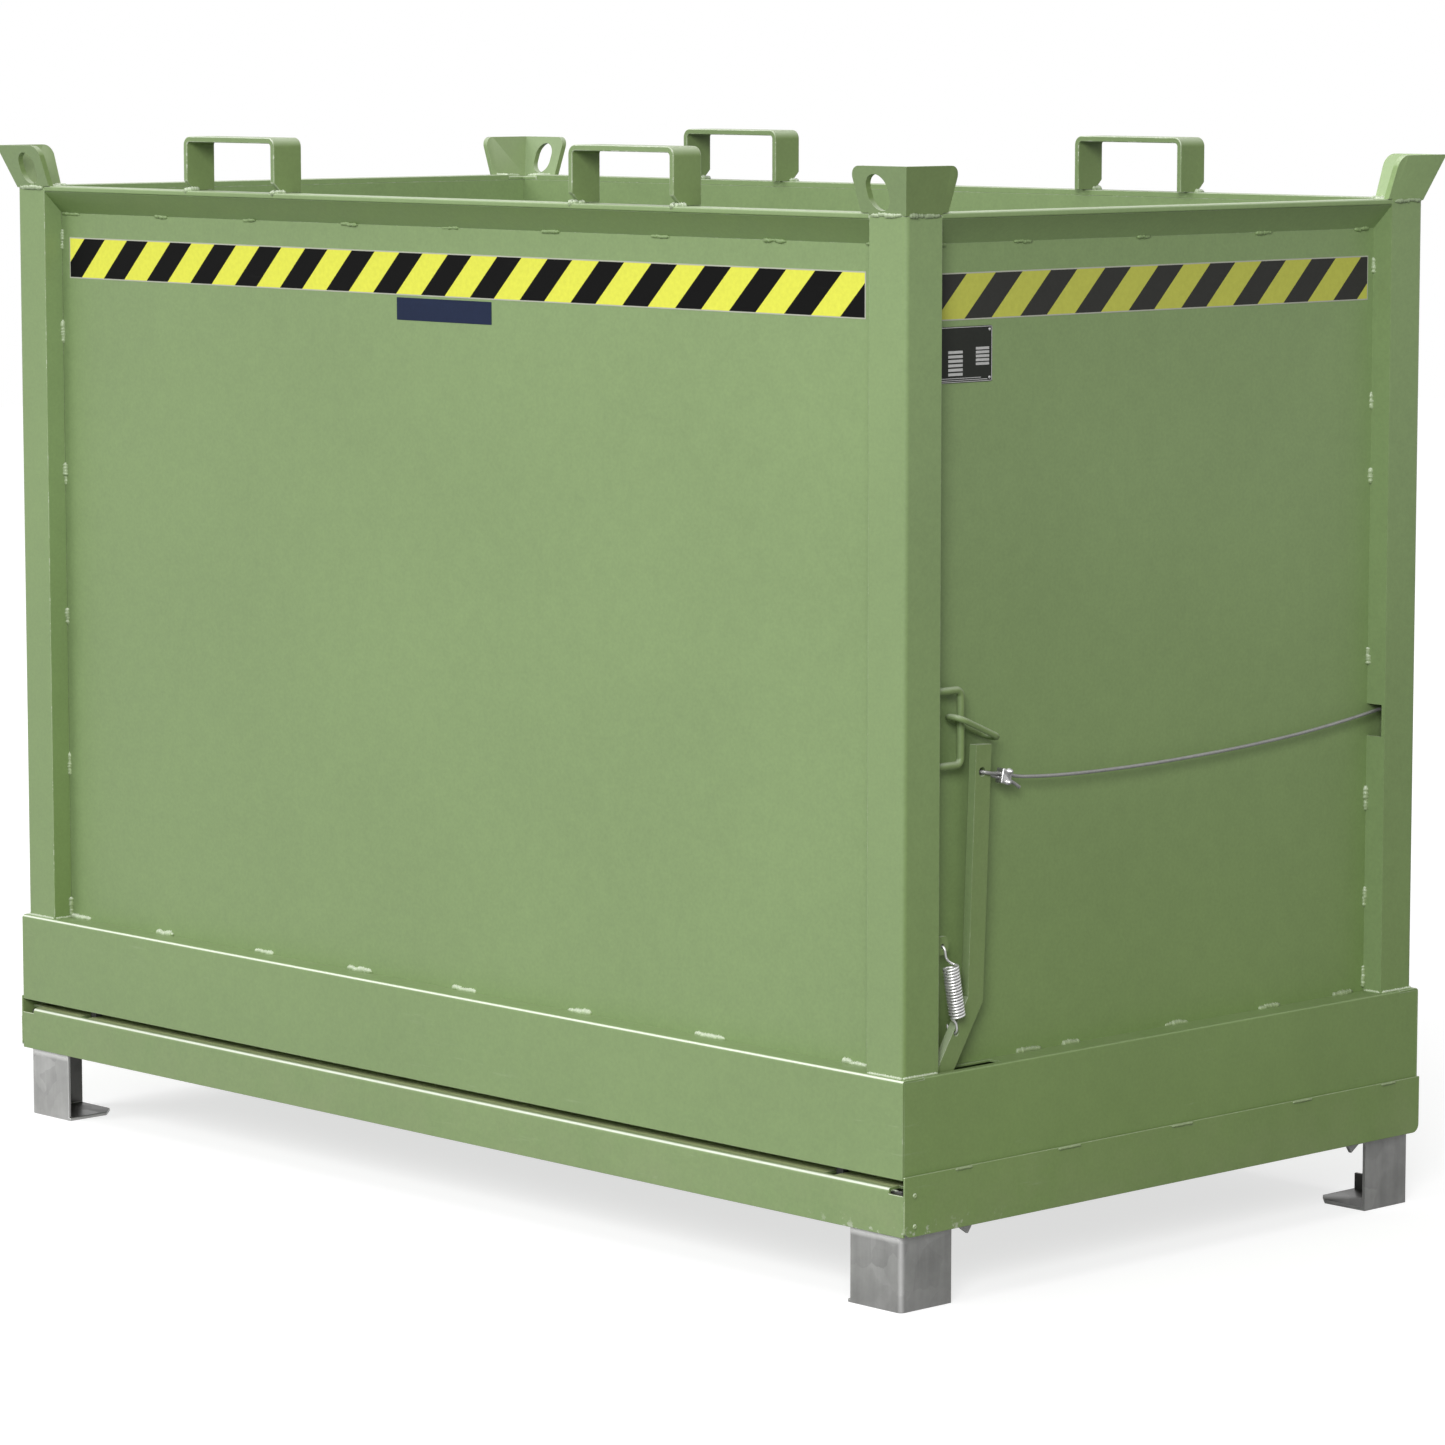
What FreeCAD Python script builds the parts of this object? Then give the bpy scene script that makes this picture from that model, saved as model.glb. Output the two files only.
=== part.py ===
import FreeCAD, Part
import math
import os

import Sketcher

# Hinged bottom hopper: an open steel container whose floor is a flap, hinged along the back long side.
# The flap is held shut by two hooks on a shaft inside the base frame. A lever on the right short side
# turns the shaft when its wire rope is pulled, a coil spring brings it back, and an oval safety ring
# on a staple drops over the lever's head to lock it.
# Frame: X along the long side, the front long side faces -Y, Z up, the origin on the ground under the middle.

sizes = {
    # Outer box of the corner posts
    "length_x": 1844,
    "width_y": 1000,
    "post_top": 1388,
    "post_wide": 65,
    "post_skin": 4,
    "post_cap": 5,
    "post_round": 7,
    # Sheet panels, their recess behind the post faces, and the flared rim
    "sheet": 3,
    "recess": 32,
    "wall_gap": 2,
    "flare_tall": 32,
    "flare_skin": 4.2,
    "flare_knee": 1.2,
    "lining_skin": 2.5,
    "rim_tall": 8,
    "rim_deep": 34,
    "rim_round": 2.5,
    # Folded base band
    "band_gap": 12,
    "band_tall": 128,
    "band_proud": 7,
    "band_round": 5,
    "lever_slot_near": 46,
    "lever_slot_long": 121,
    "lever_slot_play": 4,
    "edge_left": 0.5,
    # Lifting lugs on the corners
    "lug_tall": 62,
    "lug_lean": 22,
    "lug_skin": 8.5,
    "lug_wing_x": 78,
    "lug_wing_y": 74,
    "lug_round": 16,
    "eye_wide": 37,
    "eye_tall": 46,
    "eye_lift": 29,
    "eye_in": 39.5,
    "overrun": 20,
    # Fork loops of bent flat bar
    "loop_wide": 204,
    "loop_tall": 77,
    "loop_bar": 8,
    "loop_deep": 50,
    "loop_round": 13,
    "loop_chamfer": 14,
    "loop_from_middle": 410,
    "loop_shift": 13,
    # Flap: floor plate with hanging lips
    "flap_low": 100,
    "lip_tall": 62,
    "floor_skin": 4,
    "floor_in": 32.5,
    "lip_skin": 3,
    "lip_gap": 1.5,
    "lip_round": 6,
    "lip_notch_long": 26,
    "lip_notch_deep": 6,
    "side_lip_rise": 16.5,
    "side_lip_rise_back": 16.5,
    "side_lip_round": 12,
    "hook_slot_half": 9,
    # Bars under the floor plate
    "rail_in": 33,
    "rail_deep": 12,
    "rail_tall": 12,
    "rail_short": 22,
    "cross_skin": 8,
    "cross_tall": 50,
    "cross_outer": 620,
    "cross_inner": 207,
    "spine_tall": 40,
    # Feet of folded plate
    "foot_in": 1,
    "foot_out": 0.5,
    "foot_wide": 92,
    "foot_plate_extra": 4,
    "foot_skin": 5,
    "foot_round": 8,
    "foot_cut": 24,
    "foot_lip": 28,
    "foot_strip_end": 132,
    "foot_vee": 122,
    "foot_vee_drop": 14,
    "foot_vee_flat": 107,
    "foot_strip_drop": 4,
    # Hinge along the back
    "hinge_out": 21,
    "hinge_rise": 3,
    "knuckle": 16,
    "pin": 6,
    "pin_fit": 0.15,
    "pin_play": 0.4,
    "pin_head": 9.5,
    "pin_head_long": 5,
    "tongue_half": 12,
    "ear_gap": 0.5,
    "ear_skin": 10,
    "ear_rise": 87,
    "ear_rise_low": 12,
    "ear_deep": 10,
    "tongue_up": 8,
    "tongue_drop": 11,
    "tongue_foot": 8,
    "hinge_step": 620,
    # Latch shaft, its bearings and the hooks
    "pivot_in": 16,
    "pivot_up": 21,
    "shaft": 11,
    "shaft_play": 0.5,
    "shaft_short": 50,
    "shaft_end": 4,
    "bearing_skin": 8,
    "bearing_in": 192,
    "bearing_shift": 20,
    "hook_in": 132,
    "hook_skin": 12,
    "hook_hub": 15,
    "weld_fit": 0.2,
    "hook_back_off": 3,
    "hook_arm": 11,
    "hook_reach": 14,
    "hook_tip_tall": 10,
    "hook_seat": 0.3,
    "hook_tip_round": 3,
    # Lever of bent flat bar, and its two holes
    "lever_gap": 13,
    "lever_skin": 12,
    "lever_wide": 28,
    "lever_kick": 123,
    "lever_bend_up": 193,
    "lever_lean": 13,
    "lever_tall": 520,
    "lever_hub": 16,
    "rope_hole_back": 3,
    "rope_hole_drop": 35,
    "rope_hole": 6,
    "spring_hole": 4.2,
    "spring_hole_shift": 1.3,
    # Staple and safety ring
    "staple_off": 15.3,
    "staple_out": 54,
    "staple_drop": 24,
    "staple_tall": 96,
    "staple_bar": 5,
    "staple_bend": 9,
    "ring_off": 19.5,
    "ring_out": 17.5,
    "ring_rise": 23,
    "ring_bar": 4,
    "ring_half_wide": 13.5,
    "ring_half_long": 41,
    "ring_tilt": -23,
    # Return spring between a tab on the post and the lever
    "tab_deep": 27,
    "tab_up": 149,
    "tab_tall": 24,
    "tab_skin": 5,
    "tab_round": 8,
    "tab_hole": 3.4,
    "spring_off": 6,
    "tab_hole_in": 10,
    "tab_hole_up": 11,
    "spring_hole_along": 88,
    "spring_hole_up": 152,
    "spring_wire": 1.6,
    "spring_round": 9.4,
    "spring_proud": 12,
    "spring_pitch": 4,
    "spring_start": 25,
    "spring_lead": 13,
    "spring_top_hook": 5.5,
    "spring_low_hook": 8.2,
    "spring_tail": 3,
    # Wire rope, its eye, clip, roller and pull ring
    "rope": 2.5,
    "rope_seat": 0.3,
    "eye_slope": -12.5,
    "eye_side": 9.5,
    "strand_part": 2.8,
    "clip_from": 38,
    "clip_to": 56,
    "clip_half_x": 6.5,
    "clip_half_tall": 10,
    "clip_fit": 0.2,
    "clip_bolt": 2.2,
    "clip_bolt_at": 7,
    "clip_bolt_out": 7,
    "clip_nut": 4,
    "clip_nut_tall": 4,
    "roller_in": 24,
    "roller_rise": 4,
    "roller": 12,
    "roller_groove": 10.4,
    "roller_half": 7,
    "roller_pin": 4,
    "roller_bore": 4.3,
    "rope_slot_drop": 27,
    "rope_slot_tall": 44,
    "rope_slot_edge": 6,
    "rope_exit_drop": 34,
    "rope_exit_tall": 56,
    "rope_exit_half": 10,
    "pull_bar": 3,
    "pull_in": 27,
    "pull_gap": 0.6,
    "pull_drop": 136,
    "pull_half_wide": 17,
    "pull_half_long": 24,
}

doc = FreeCAD.newDocument("HingedBottomHopper")
sheet = doc.addObject("Spreadsheet::Sheet", "Sizes")
for row, (alias, number) in enumerate(sizes.items(), 1):
    sheet.set(f"A{row}", alias)
    sheet.set(f"B{row}", str(number))
    sheet.setAlias(f"B{row}", alias)
doc.recompute()


# A length together with the sheet expression that gives it, so that sums of sizes stay tied to the sheet
class Size:
    def __init__(self, value, text):
        self.value = float(value)
        self.text = text

    def __add__(self, other):
        return Size(self.value + value_of(other), f"({self.text} + {text_of(other)})")

    def __sub__(self, other):
        return Size(self.value - value_of(other), f"({self.text} - {text_of(other)})")

    def __mul__(self, share):
        return Size(self.value * share, f"({self.text} * {share})")

    def __truediv__(self, share):
        return Size(self.value / share, f"({self.text} / {share})")

    def __neg__(self):
        return Size(-self.value, f"(-1 * {self.text})")


def value_of(size):
    return size.value if isinstance(size, Size) else float(size)


def text_of(size):
    return size.text if isinstance(size, Size) else repr(size)


def cell(alias):
    return places[alias] if alias in places else Size(getattr(sheet, alias), f"Sizes.{alias}")


def plain(alias):
    return cell(alias).value


places = {}


half_x = cell("length_x") / 2
half_y = cell("width_y") / 2
panel_x = half_x - cell("recess")
panel_y = half_y - cell("recess")
band_x = half_x + cell("band_proud")
band_y = half_y + cell("band_proud")
post_in_x = half_x - cell("post_wide")
post_in_y = half_y - cell("post_wide")
lip_in_x = band_x + cell("lip_gap")
lip_out_x = lip_in_x + cell("lip_skin")
zero = Size(0, "0")
# Places that follow from other sizes, read through cell() and plain() as the sizes are
places["rim_low"] = cell("post_top") - cell("post_cap")
rim_top = cell("rim_low") + cell("rim_tall")
places["flare_low"] = cell("rim_low") - cell("flare_tall")
places["floor_top"] = cell("flap_low") + cell("lip_tall")
floor_low = cell("floor_top") - cell("floor_skin")
places["wall_low"] = cell("floor_top") + cell("wall_gap")
places["band_low"] = cell("floor_top") + cell("band_gap")
places["band_top"] = cell("band_low") + cell("band_tall")
places["loop_top"] = rim_top + cell("loop_tall")
places["floor_front"] = half_y - cell("floor_in")
places["side_lip_front"] = cell("floor_top") + cell("side_lip_rise")
places["side_lip_back"] = cell("floor_top") + cell("side_lip_rise_back")
places["back_lip_y"] = band_y - cell("sheet")
places["rail_from"] = half_y - cell("rail_in")
places["rail_half"] = half_x - cell("rail_short")
places["foot_x"] = half_x - cell("foot_in")
places["foot_y"] = half_y + cell("foot_out")
places["foot_strip_low"] = cell("flap_low") - cell("foot_strip_drop")
places["hinge_y"] = half_y + cell("hinge_out")
places["hinge_z"] = cell("floor_top") + cell("hinge_rise")
places["ear_top"] = cell("hinge_z") + cell("ear_rise")
places["ear_low"] = cell("hinge_z") + cell("ear_rise_low")
places["tongue_low"] = cell("flap_low") + cell("tongue_up")
places["tongue_top"] = cell("hinge_z") - cell("tongue_drop")
places["pivot_y"] = cell("pivot_in") - half_y
places["pivot_z"] = cell("band_low") + cell("pivot_up")
places["lever_slot_from"] = cell("pivot_y") + cell("lever_slot_near")
places["lever_slot_to"] = cell("lever_slot_from") + cell("lever_slot_long")
places["lever_inner"] = panel_x + cell("lever_gap")
places["shaft_left"] = cell("shaft_short") - half_x
places["shaft_right"] = cell("lever_inner") + cell("lever_skin") + cell("shaft_end")
places["bearing_step"] = half_x - cell("bearing_in")
places["hook_at"] = half_x - cell("hook_in")
places["hook_back"] = cell("pivot_y") + cell("hook_back_off")
places["hook_face"] = cell("hook_back") + cell("hook_arm")
places["hook_tip"] = cell("hook_reach") - cell("rail_from")
places["hook_low"] = floor_low - cell("rail_tall") - cell("hook_tip_tall")
places["lever_bend_y"] = cell("pivot_y") + cell("lever_kick")
places["lever_bend_z"] = cell("pivot_z") + cell("lever_bend_up")
places["lever_top_y"] = cell("lever_bend_y") + cell("lever_lean")
places["lever_top_z"] = cell("pivot_z") + cell("lever_tall")
places["rope_hole_y"] = cell("lever_top_y") - cell("rope_hole_back")
places["rope_hole_z"] = cell("lever_top_z") - cell("rope_hole_drop")
places["staple_x"] = panel_x + cell("staple_off")
places["staple_y"] = cell("staple_out") - post_in_y
places["staple_low"] = cell("lever_top_z") - cell("staple_drop")
places["staple_top"] = cell("staple_low") + cell("staple_tall")
places["ring_x"] = panel_x + cell("ring_off")
places["ring_y"] = cell("staple_y") + cell("ring_out")
places["ring_z"] = cell("lever_top_z") + cell("ring_rise")
places["tab_low"] = cell("band_top") + cell("tab_up")
places["tab_high"] = cell("tab_low") + cell("tab_tall")
places["spring_x"] = cell("lever_inner") + cell("spring_off")
places["spring_top_y"] = cell("tab_deep") - cell("tab_hole_in") - post_in_y
places["spring_top_z"] = cell("tab_low") + cell("tab_hole_up")
places["spring_low_y"] = cell("pivot_y") + cell("spring_hole_along")
places["spring_low_z"] = cell("pivot_z") + cell("spring_hole_up")
places["roller_x"] = cell("lever_inner")
places["roller_y"] = half_y - cell("roller_in")
places["roller_z"] = cell("rope_hole_z") + cell("roller_rise")
places["rope_slot_low"] = cell("roller_z") - cell("rope_slot_drop")
places["rope_slot_top"] = cell("rope_slot_low") + cell("rope_slot_tall")
places["rope_exit_low"] = cell("roller_z") - cell("rope_exit_drop")
places["rope_exit_top"] = cell("rope_exit_low") + cell("rope_exit_tall")
places["pull_x"] = cell("roller_x") - cell("pull_in")
places["pull_y"] = half_y + cell("pull_bar") + cell("pull_gap")
places["pull_z"] = cell("roller_z") - cell("pull_drop")
nodes = []


def kept(feature, label):
    feature.Label = label
    nodes.append(feature)
    return feature


# Sketches, pads and pockets in a body: (Y, Z) points on YZ, (X, Z) on XZ, (X, Y) on XY
plane_roles = {"YZ": "YZ_Plane", "XZ": "XZ_Plane", "XY": "XY_Plane"}


def new_sketch(body, plane, at):
    sketch = body.newObject("Sketcher::SketchObject", f"{body.Name}Sketch")
    support = [feature for feature in body.Origin.OriginFeatures if feature.Role == plane_roles[plane]][0]
    sketch.AttachmentSupport = [(support, "")]
    sketch.MapMode = "FlatFace"
    shift = -at if plane == "XZ" else at
    sketch.setExpression("AttachmentOffset.Base.z", shift.text)
    return sketch


def bind(sketch, kind, geometry, position, size):
    at = sketch.addConstraint(Sketcher.Constraint(kind, -1, 1, geometry, position, size.value))
    sketch.setExpression(f"Constraints[{at}]", size.text)


def add_outline(sketch, points):
    first = sketch.GeometryCount
    count = len(points)
    for index, (across, up) in enumerate(points):
        next_across, next_up = points[(index + 1) % count]
        start = FreeCAD.Vector(across.value, up.value, 0)
        end = FreeCAD.Vector(next_across.value, next_up.value, 0)
        sketch.addGeometry(Part.LineSegment(start, end), False)
    for index in range(count):
        following = first + (index + 1) % count
        sketch.addConstraint(Sketcher.Constraint("Coincident", first + index, 2, following, 1))
    for index, (across, up) in enumerate(points):
        bind(sketch, "DistanceX", first + index, 1, across)
        bind(sketch, "DistanceY", first + index, 1, up)


def add_circle(sketch, across, up, radius):
    middle = FreeCAD.Vector(across.value, up.value, 0)
    at = sketch.addGeometry(Part.Circle(middle, FreeCAD.Vector(0, 0, 1), radius.value), False)
    bind(sketch, "DistanceX", at, 3, across)
    bind(sketch, "DistanceY", at, 3, up)
    turn = sketch.addConstraint(Sketcher.Constraint("Radius", at, radius.value))
    sketch.setExpression(f"Constraints[{turn}]", radius.text)


def new_body(label):
    body = doc.addObject("PartDesign::Body", "Body")
    return kept(body, label)


def pad(body, plane, low, high, outlines=(), circles=()):
    sketch = new_sketch(body, plane, high if plane == "XZ" else low)
    for points in outlines:
        add_outline(sketch, points)
    for across, up, radius in circles:
        add_circle(sketch, across, up, radius)
    feature = body.newObject("PartDesign::Pad", f"{body.Name}Pad")
    feature.Profile = sketch
    feature.setExpression("Length", (high - low).text)
    body.Tip = feature
    doc.recompute()
    return feature


def pocket(body, plane, middle, length, outlines=(), circles=()):
    sketch = new_sketch(body, plane, middle)
    for points in outlines:
        add_outline(sketch, points)
    for across, up, radius in circles:
        add_circle(sketch, across, up, radius)
    before = body.Shape.Volume
    feature = body.newObject("PartDesign::Pocket", f"{body.Name}Pocket")
    feature.Profile = sketch
    feature.SideType = "Symmetric"
    feature.setExpression("Length", length.text)
    body.Tip = feature
    doc.recompute()
    if body.Shape.Volume >= before:
        raise RuntimeError(f"a pocket in {body.Label} cuts nothing")
    return feature


# Rounds the edges of a body that run along an axis (0, 1 or 2) through a point given by the other two places
def round_edges(body, picks, radius):
    names = []
    for axis, point in picks:
        others = [index for index in range(3) if index != axis]
        found = []
        for number, edge in enumerate(body.Shape.Edges, 1):
            ends = [edge.Vertexes[0].Point, edge.Vertexes[-1].Point]
            if all(abs(end[other] - place.value) < 0.01 for end in ends for other, place in zip(others, point)):
                found.append(f"Edge{number}")
        if not found:
            raise RuntimeError(f"{body.Label} has no edge along axis {axis} at {[p.value for p in point]}")
        names += [name for name in found if name not in names]
    base = body.Tip
    feature = body.newObject("PartDesign::Fillet", f"{body.Name}Fillet")
    feature.Base = (base, names)
    feature.setExpression("Radius", radius.text)
    body.Tip = feature
    doc.recompute()
    return feature


def rectangle(low_across, high_across, low_up, high_up):
    return [(low_across, low_up), (high_across, low_up), (high_across, high_up), (low_across, high_up)]


def box(label, low, high, keep=True):
    feature = doc.addObject("Part::Box", "Box")
    for name, axis in (("Length", 0), ("Width", 1), ("Height", 2)):
        feature.setExpression(name, (high[axis] - low[axis]).text)
        feature.setExpression(f"Placement.Base.{'xyz'[axis]}", low[axis].text)
    feature.Label = label
    if keep:
        nodes.append(feature)
    return feature


def fused(label, pieces, keep=True):
    feature = doc.addObject("Part::MultiFuse", "Fused")
    feature.Shapes = pieces
    feature.Refine = True
    feature.Label = label
    if keep:
        nodes.append(feature)
    doc.recompute()
    return feature


def cut(label, base, tool, keep=True):
    feature = doc.addObject("Part::Cut", "Cut")
    feature.Base = base
    feature.Tool = tool
    feature.Label = label
    if keep:
        nodes.append(feature)
    doc.recompute()
    return feature


def mirrored(label, source, normal):
    feature = doc.addObject("Part::Mirroring", "Mirrored")
    feature.Source = source
    feature.Normal = normal
    return kept(feature, label)


def solid(label, shape, place=None):
    feature = doc.addObject("Part::Feature", "Solid")
    feature.Shape = shape
    if place:
        feature.Placement = place
    return kept(feature, label)


across_x = FreeCAD.Vector(1, 0, 0)
across_y = FreeCAD.Vector(0, 1, 0)


# Turned piece: (X, radius) points revolved about an axis along X through the given place
def turned(label, points, place):
    body = new_body(label)
    sketch = new_sketch(body, "XY", zero)
    add_outline(sketch, points)
    feature = body.newObject("PartDesign::Revolution", f"{body.Name}Revolution")
    feature.Profile = sketch
    feature.ReferenceAxis = ([f for f in body.Origin.OriginFeatures if f.Role == "X_Axis"][0], [""])
    feature.Angle = 360
    body.Tip = feature
    for name, size in zip("xyz", place):
        body.setExpression(f"Placement.Base.{name}", size.text)
    doc.recompute()
    return body


# Sheet panels with the flared rim
def make_walls():
    sheet_skin = cell("sheet")
    inner_y = panel_y - sheet_skin
    inner_x = panel_x - sheet_skin
    horn_top = cell("post_top") - cell("post_cap")

    def blank(half, post_in):
        return [(-half, cell("wall_low")), (half, cell("wall_low")), (half, horn_top), (post_in, horn_top),
                (post_in, cell("flare_low")), (-post_in, cell("flare_low")), (-post_in, horn_top),
                (-half, horn_top)]

    def flare(plane_at, post_at, side):
        # The flare and the plain lining inside it, which keeps the inner face straight up to the rim bar
        knee = cell("flare_low") + cell("flare_knee")
        lip = post_at - cell("flare_skin")
        inside = plane_at - sheet_skin
        lining = inside + cell("lining_skin")
        return [(plane_at * side, cell("flare_low")), (post_at * side, cell("rim_low")),
                (lip * side, cell("rim_low")), (lining * side, knee + cell("lining_skin")),
                (lining * side, cell("rim_low")), (inside * side, cell("rim_low")),
                (inside * side, cell("flare_low"))]

    front = new_body("wall_front")
    pad(front, "XZ", -panel_y, -inner_y, [blank(panel_x, post_in_x)])
    pad(front, "YZ", -post_in_x, post_in_x, [flare(panel_y, half_y, -1)])
    mirrored("wall_back", front, across_y)
    right = new_body("wall_right")
    pad(right, "YZ", inner_x, panel_x, [blank(inner_y, post_in_y)])
    pad(right, "XZ", -post_in_y, post_in_y, [flare(panel_x, half_x, 1)])
    mirrored("wall_left", right, across_x)


# Flat bars that stiffen the rim between the posts
def make_rim_bars():
    front = new_body("rim_bar_front")
    inner_y = half_y - cell("rim_deep")
    pad(front, "YZ", -post_in_x, post_in_x, [rectangle(-half_y, -inner_y, cell("rim_low"), rim_top)])
    round_edges(front, [(0, (-half_y, cell("rim_low"))), (0, (-half_y, rim_top))], cell("rim_round"))
    mirrored("rim_bar_back", front, across_y)
    right = new_body("rim_bar_right")
    inner_x = half_x - cell("rim_deep")
    pad(right, "XZ", -post_in_y, post_in_y, [rectangle(inner_x, half_x, cell("rim_low"), rim_top)])
    round_edges(right, [(1, (half_x, cell("rim_low"))), (1, (half_x, rim_top))], cell("rim_round"))
    mirrored("rim_bar_left", right, across_x)


# Corner posts: folded angles with a return on each wing down to the panels, and a cap
def make_posts():
    skin = cell("post_skin")
    for label, side_x, side_y in (("post_front_left", -1, -1), ("post_front_right", 1, -1),
                                  ("post_back_left", -1, 1), ("post_back_right", 1, 1)):
        body = new_body(label)

        def corner(points):
            return [(x * side_x, y * side_y) for x, y in points]

        section = corner([(half_x, half_y), (post_in_x, half_y), (post_in_x, panel_y),
                          (post_in_x + skin, panel_y), (post_in_x + skin, half_y - skin),
                          (half_x - skin, half_y - skin), (half_x - skin, post_in_y + skin),
                          (panel_x, post_in_y + skin), (panel_x, post_in_y), (half_x, post_in_y)])
        cap_low = cell("post_top") - cell("post_cap")
        pad(body, "XY", cell("band_top"), cap_low, [section])
        inner_x = panel_x - cell("sheet")
        inner_y = panel_y - cell("sheet")
        cap = corner([(half_x, half_y), (post_in_x, half_y), (post_in_x, inner_y), (inner_x, inner_y),
                      (inner_x, post_in_y), (half_x, post_in_y)])
        pad(body, "XY", cap_low, cell("post_top"), [cap])
        round_edges(body, [(2, corner([(half_x, half_y)])[0])], cell("post_round"))
        if label == "post_back_right":
            entry = rectangle(panel_x - cell("overrun"), half_x - cell("rope_slot_edge"),
                              cell("rope_slot_low"), cell("rope_slot_top"))
            pocket(body, "XZ", post_in_y + skin / 2, skin * 2, [entry])
            exit_hole = rectangle(cell("roller_x") - cell("rope_exit_half"),
                                  cell("roller_x") + cell("rope_exit_half"),
                                  cell("rope_exit_low"), cell("rope_exit_top"))
            pocket(body, "XZ", half_y - skin / 2, skin * 2, [exit_hole])


# Base band: a folded skin with a flange in to the panels. The right one has the lever's slot.
def make_bands():
    skin = cell("sheet")
    flange_low = cell("band_top") - skin
    front = new_body("band_front")
    fold = [(-band_y, cell("band_low")), (-band_y, cell("band_top")), (-panel_y, cell("band_top")),
            (-panel_y, flange_low), (skin - band_y, flange_low), (skin - band_y, cell("band_low"))]
    pad(front, "YZ", -band_x, band_x, [fold])
    round_edges(front, [(0, (-band_y, cell("band_top")))], cell("band_round"))
    mirrored("band_back", front, across_y)
    reach = band_y - skin
    for label, side in (("band_right", 1), ("band_left", -1)):
        body = new_body(label)
        across = sorted([band_x * side, (band_x - skin) * side], key=value_of)
        pad(body, "XZ", -reach, reach, [rectangle(*across, cell("band_low"), flange_low)])
        across = sorted([band_x * side, panel_x * side], key=value_of)
        pad(body, "XZ", -panel_y, panel_y, [rectangle(*across, flange_low, cell("band_top"))])
        round_edges(body, [(1, (band_x * side, cell("band_top")))], skin - cell("edge_left"))
        if side > 0:
            play = cell("lever_slot_play")
            slot = rectangle(cell("lever_inner") - play, cell("lever_inner") + cell("lever_skin") + play,
                             cell("lever_slot_from"), cell("lever_slot_to"))
            pocket(body, "XY", flange_low + skin / 2, skin * 2, [slot])


# A lifting lug on each corner: two wings that lean out from the post's faces, with an oblong eye
def make_lugs():
    wedges = []
    for name, inset in (("Outer", zero), ("Inner", cell("lug_skin"))):
        wedge = doc.addObject("Part::Wedge", f"Lug{name}")
        extra = cell("overrun") if inset is not zero else zero
        low_x = half_x - cell("lug_wing_x") - extra
        low_y = half_y - cell("lug_wing_y") - extra
        lean = cell("lug_lean")
        extents = {"Xmin": low_x, "X2min": low_x, "Xmax": half_x - inset, "X2max": half_x + lean - inset,
                   "Zmin": low_y, "Z2min": low_y, "Zmax": half_y - inset, "Z2max": half_y + lean - inset,
                   "Ymin": zero, "Ymax": cell("lug_tall")}
        for key, size in extents.items():
            wedge.setExpression(key, size.text)
        wedge.Placement.Rotation = FreeCAD.Rotation(across_x, 90)
        wedge.setExpression("Placement.Base.z", cell("post_top").text)
        wedges.append(wedge)
    shell = cut("LugShell", *wedges, keep=False)
    eye_x = half_x - cell("eye_in")
    eye_z = cell("post_top") + cell("eye_lift")
    radius = cell("eye_wide") / 2
    rise = cell("eye_tall") / 2 - radius
    deep = cell("lug_lean") + cell("overrun") * 2
    pieces = [box("EyeSlot", (eye_x - radius, -half_y - deep, eye_z - rise),
                  (eye_x + radius, -half_y + deep, eye_z + rise), keep=False)]
    for level in (eye_z - rise, eye_z + rise):
        round_end = doc.addObject("Part::Cylinder", "EyeEnd")
        round_end.setExpression("Radius", radius.text)
        round_end.setExpression("Height", (deep * 2).text)
        round_end.Placement.Rotation = FreeCAD.Rotation(across_x, 90)
        round_end.setExpression("Placement.Base.x", eye_x.text)
        round_end.setExpression("Placement.Base.y", (deep - half_y).text)
        round_end.setExpression("Placement.Base.z", level.text)
        pieces.append(round_end)
    over = cell("overrun")
    pieces.append(box("RimRestFront", (half_x - cell("lug_wing_x") - over, -half_y - deep, cell("post_top") - over),
                      (post_in_x, -half_y + deep, rim_top), keep=False))
    pieces.append(box("RimRestSide", (half_x - deep, -post_in_y, cell("post_top") - over),
                      (half_x + deep, over - post_in_y, rim_top), keep=False))
    eyed = cut("LugEyed", shell, fused("Eye", pieces, keep=False), keep=False)
    top = plain("post_top") + plain("lug_tall")
    low_x = half_x.value - plain("lug_wing_x")
    low_y = half_y.value - plain("lug_wing_y")
    free = []
    for number, edge in enumerate(eyed.Shape.Edges, 1):
        ends = [edge.Vertexes[0].Point, edge.Vertexes[-1].Point]
        at_top = all(abs(end.z - top) < 0.01 for end in ends)
        at_end = all(abs(end.x - low_x) < 0.01 for end in ends) or all(abs(end.y + low_y) < 0.01 for end in ends)
        if at_top and at_end:
            free.append((number, plain("lug_round"), plain("lug_round")))
    lug = doc.addObject("Part::Fillet", "Lug")
    lug.Base = eyed
    lug.Edges = free
    kept(lug, "lug_front_right")
    mirrored("lug_front_left", lug, across_x)
    back = mirrored("lug_back_right", lug, across_y)
    mirrored("lug_back_left", back, across_x)


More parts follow.
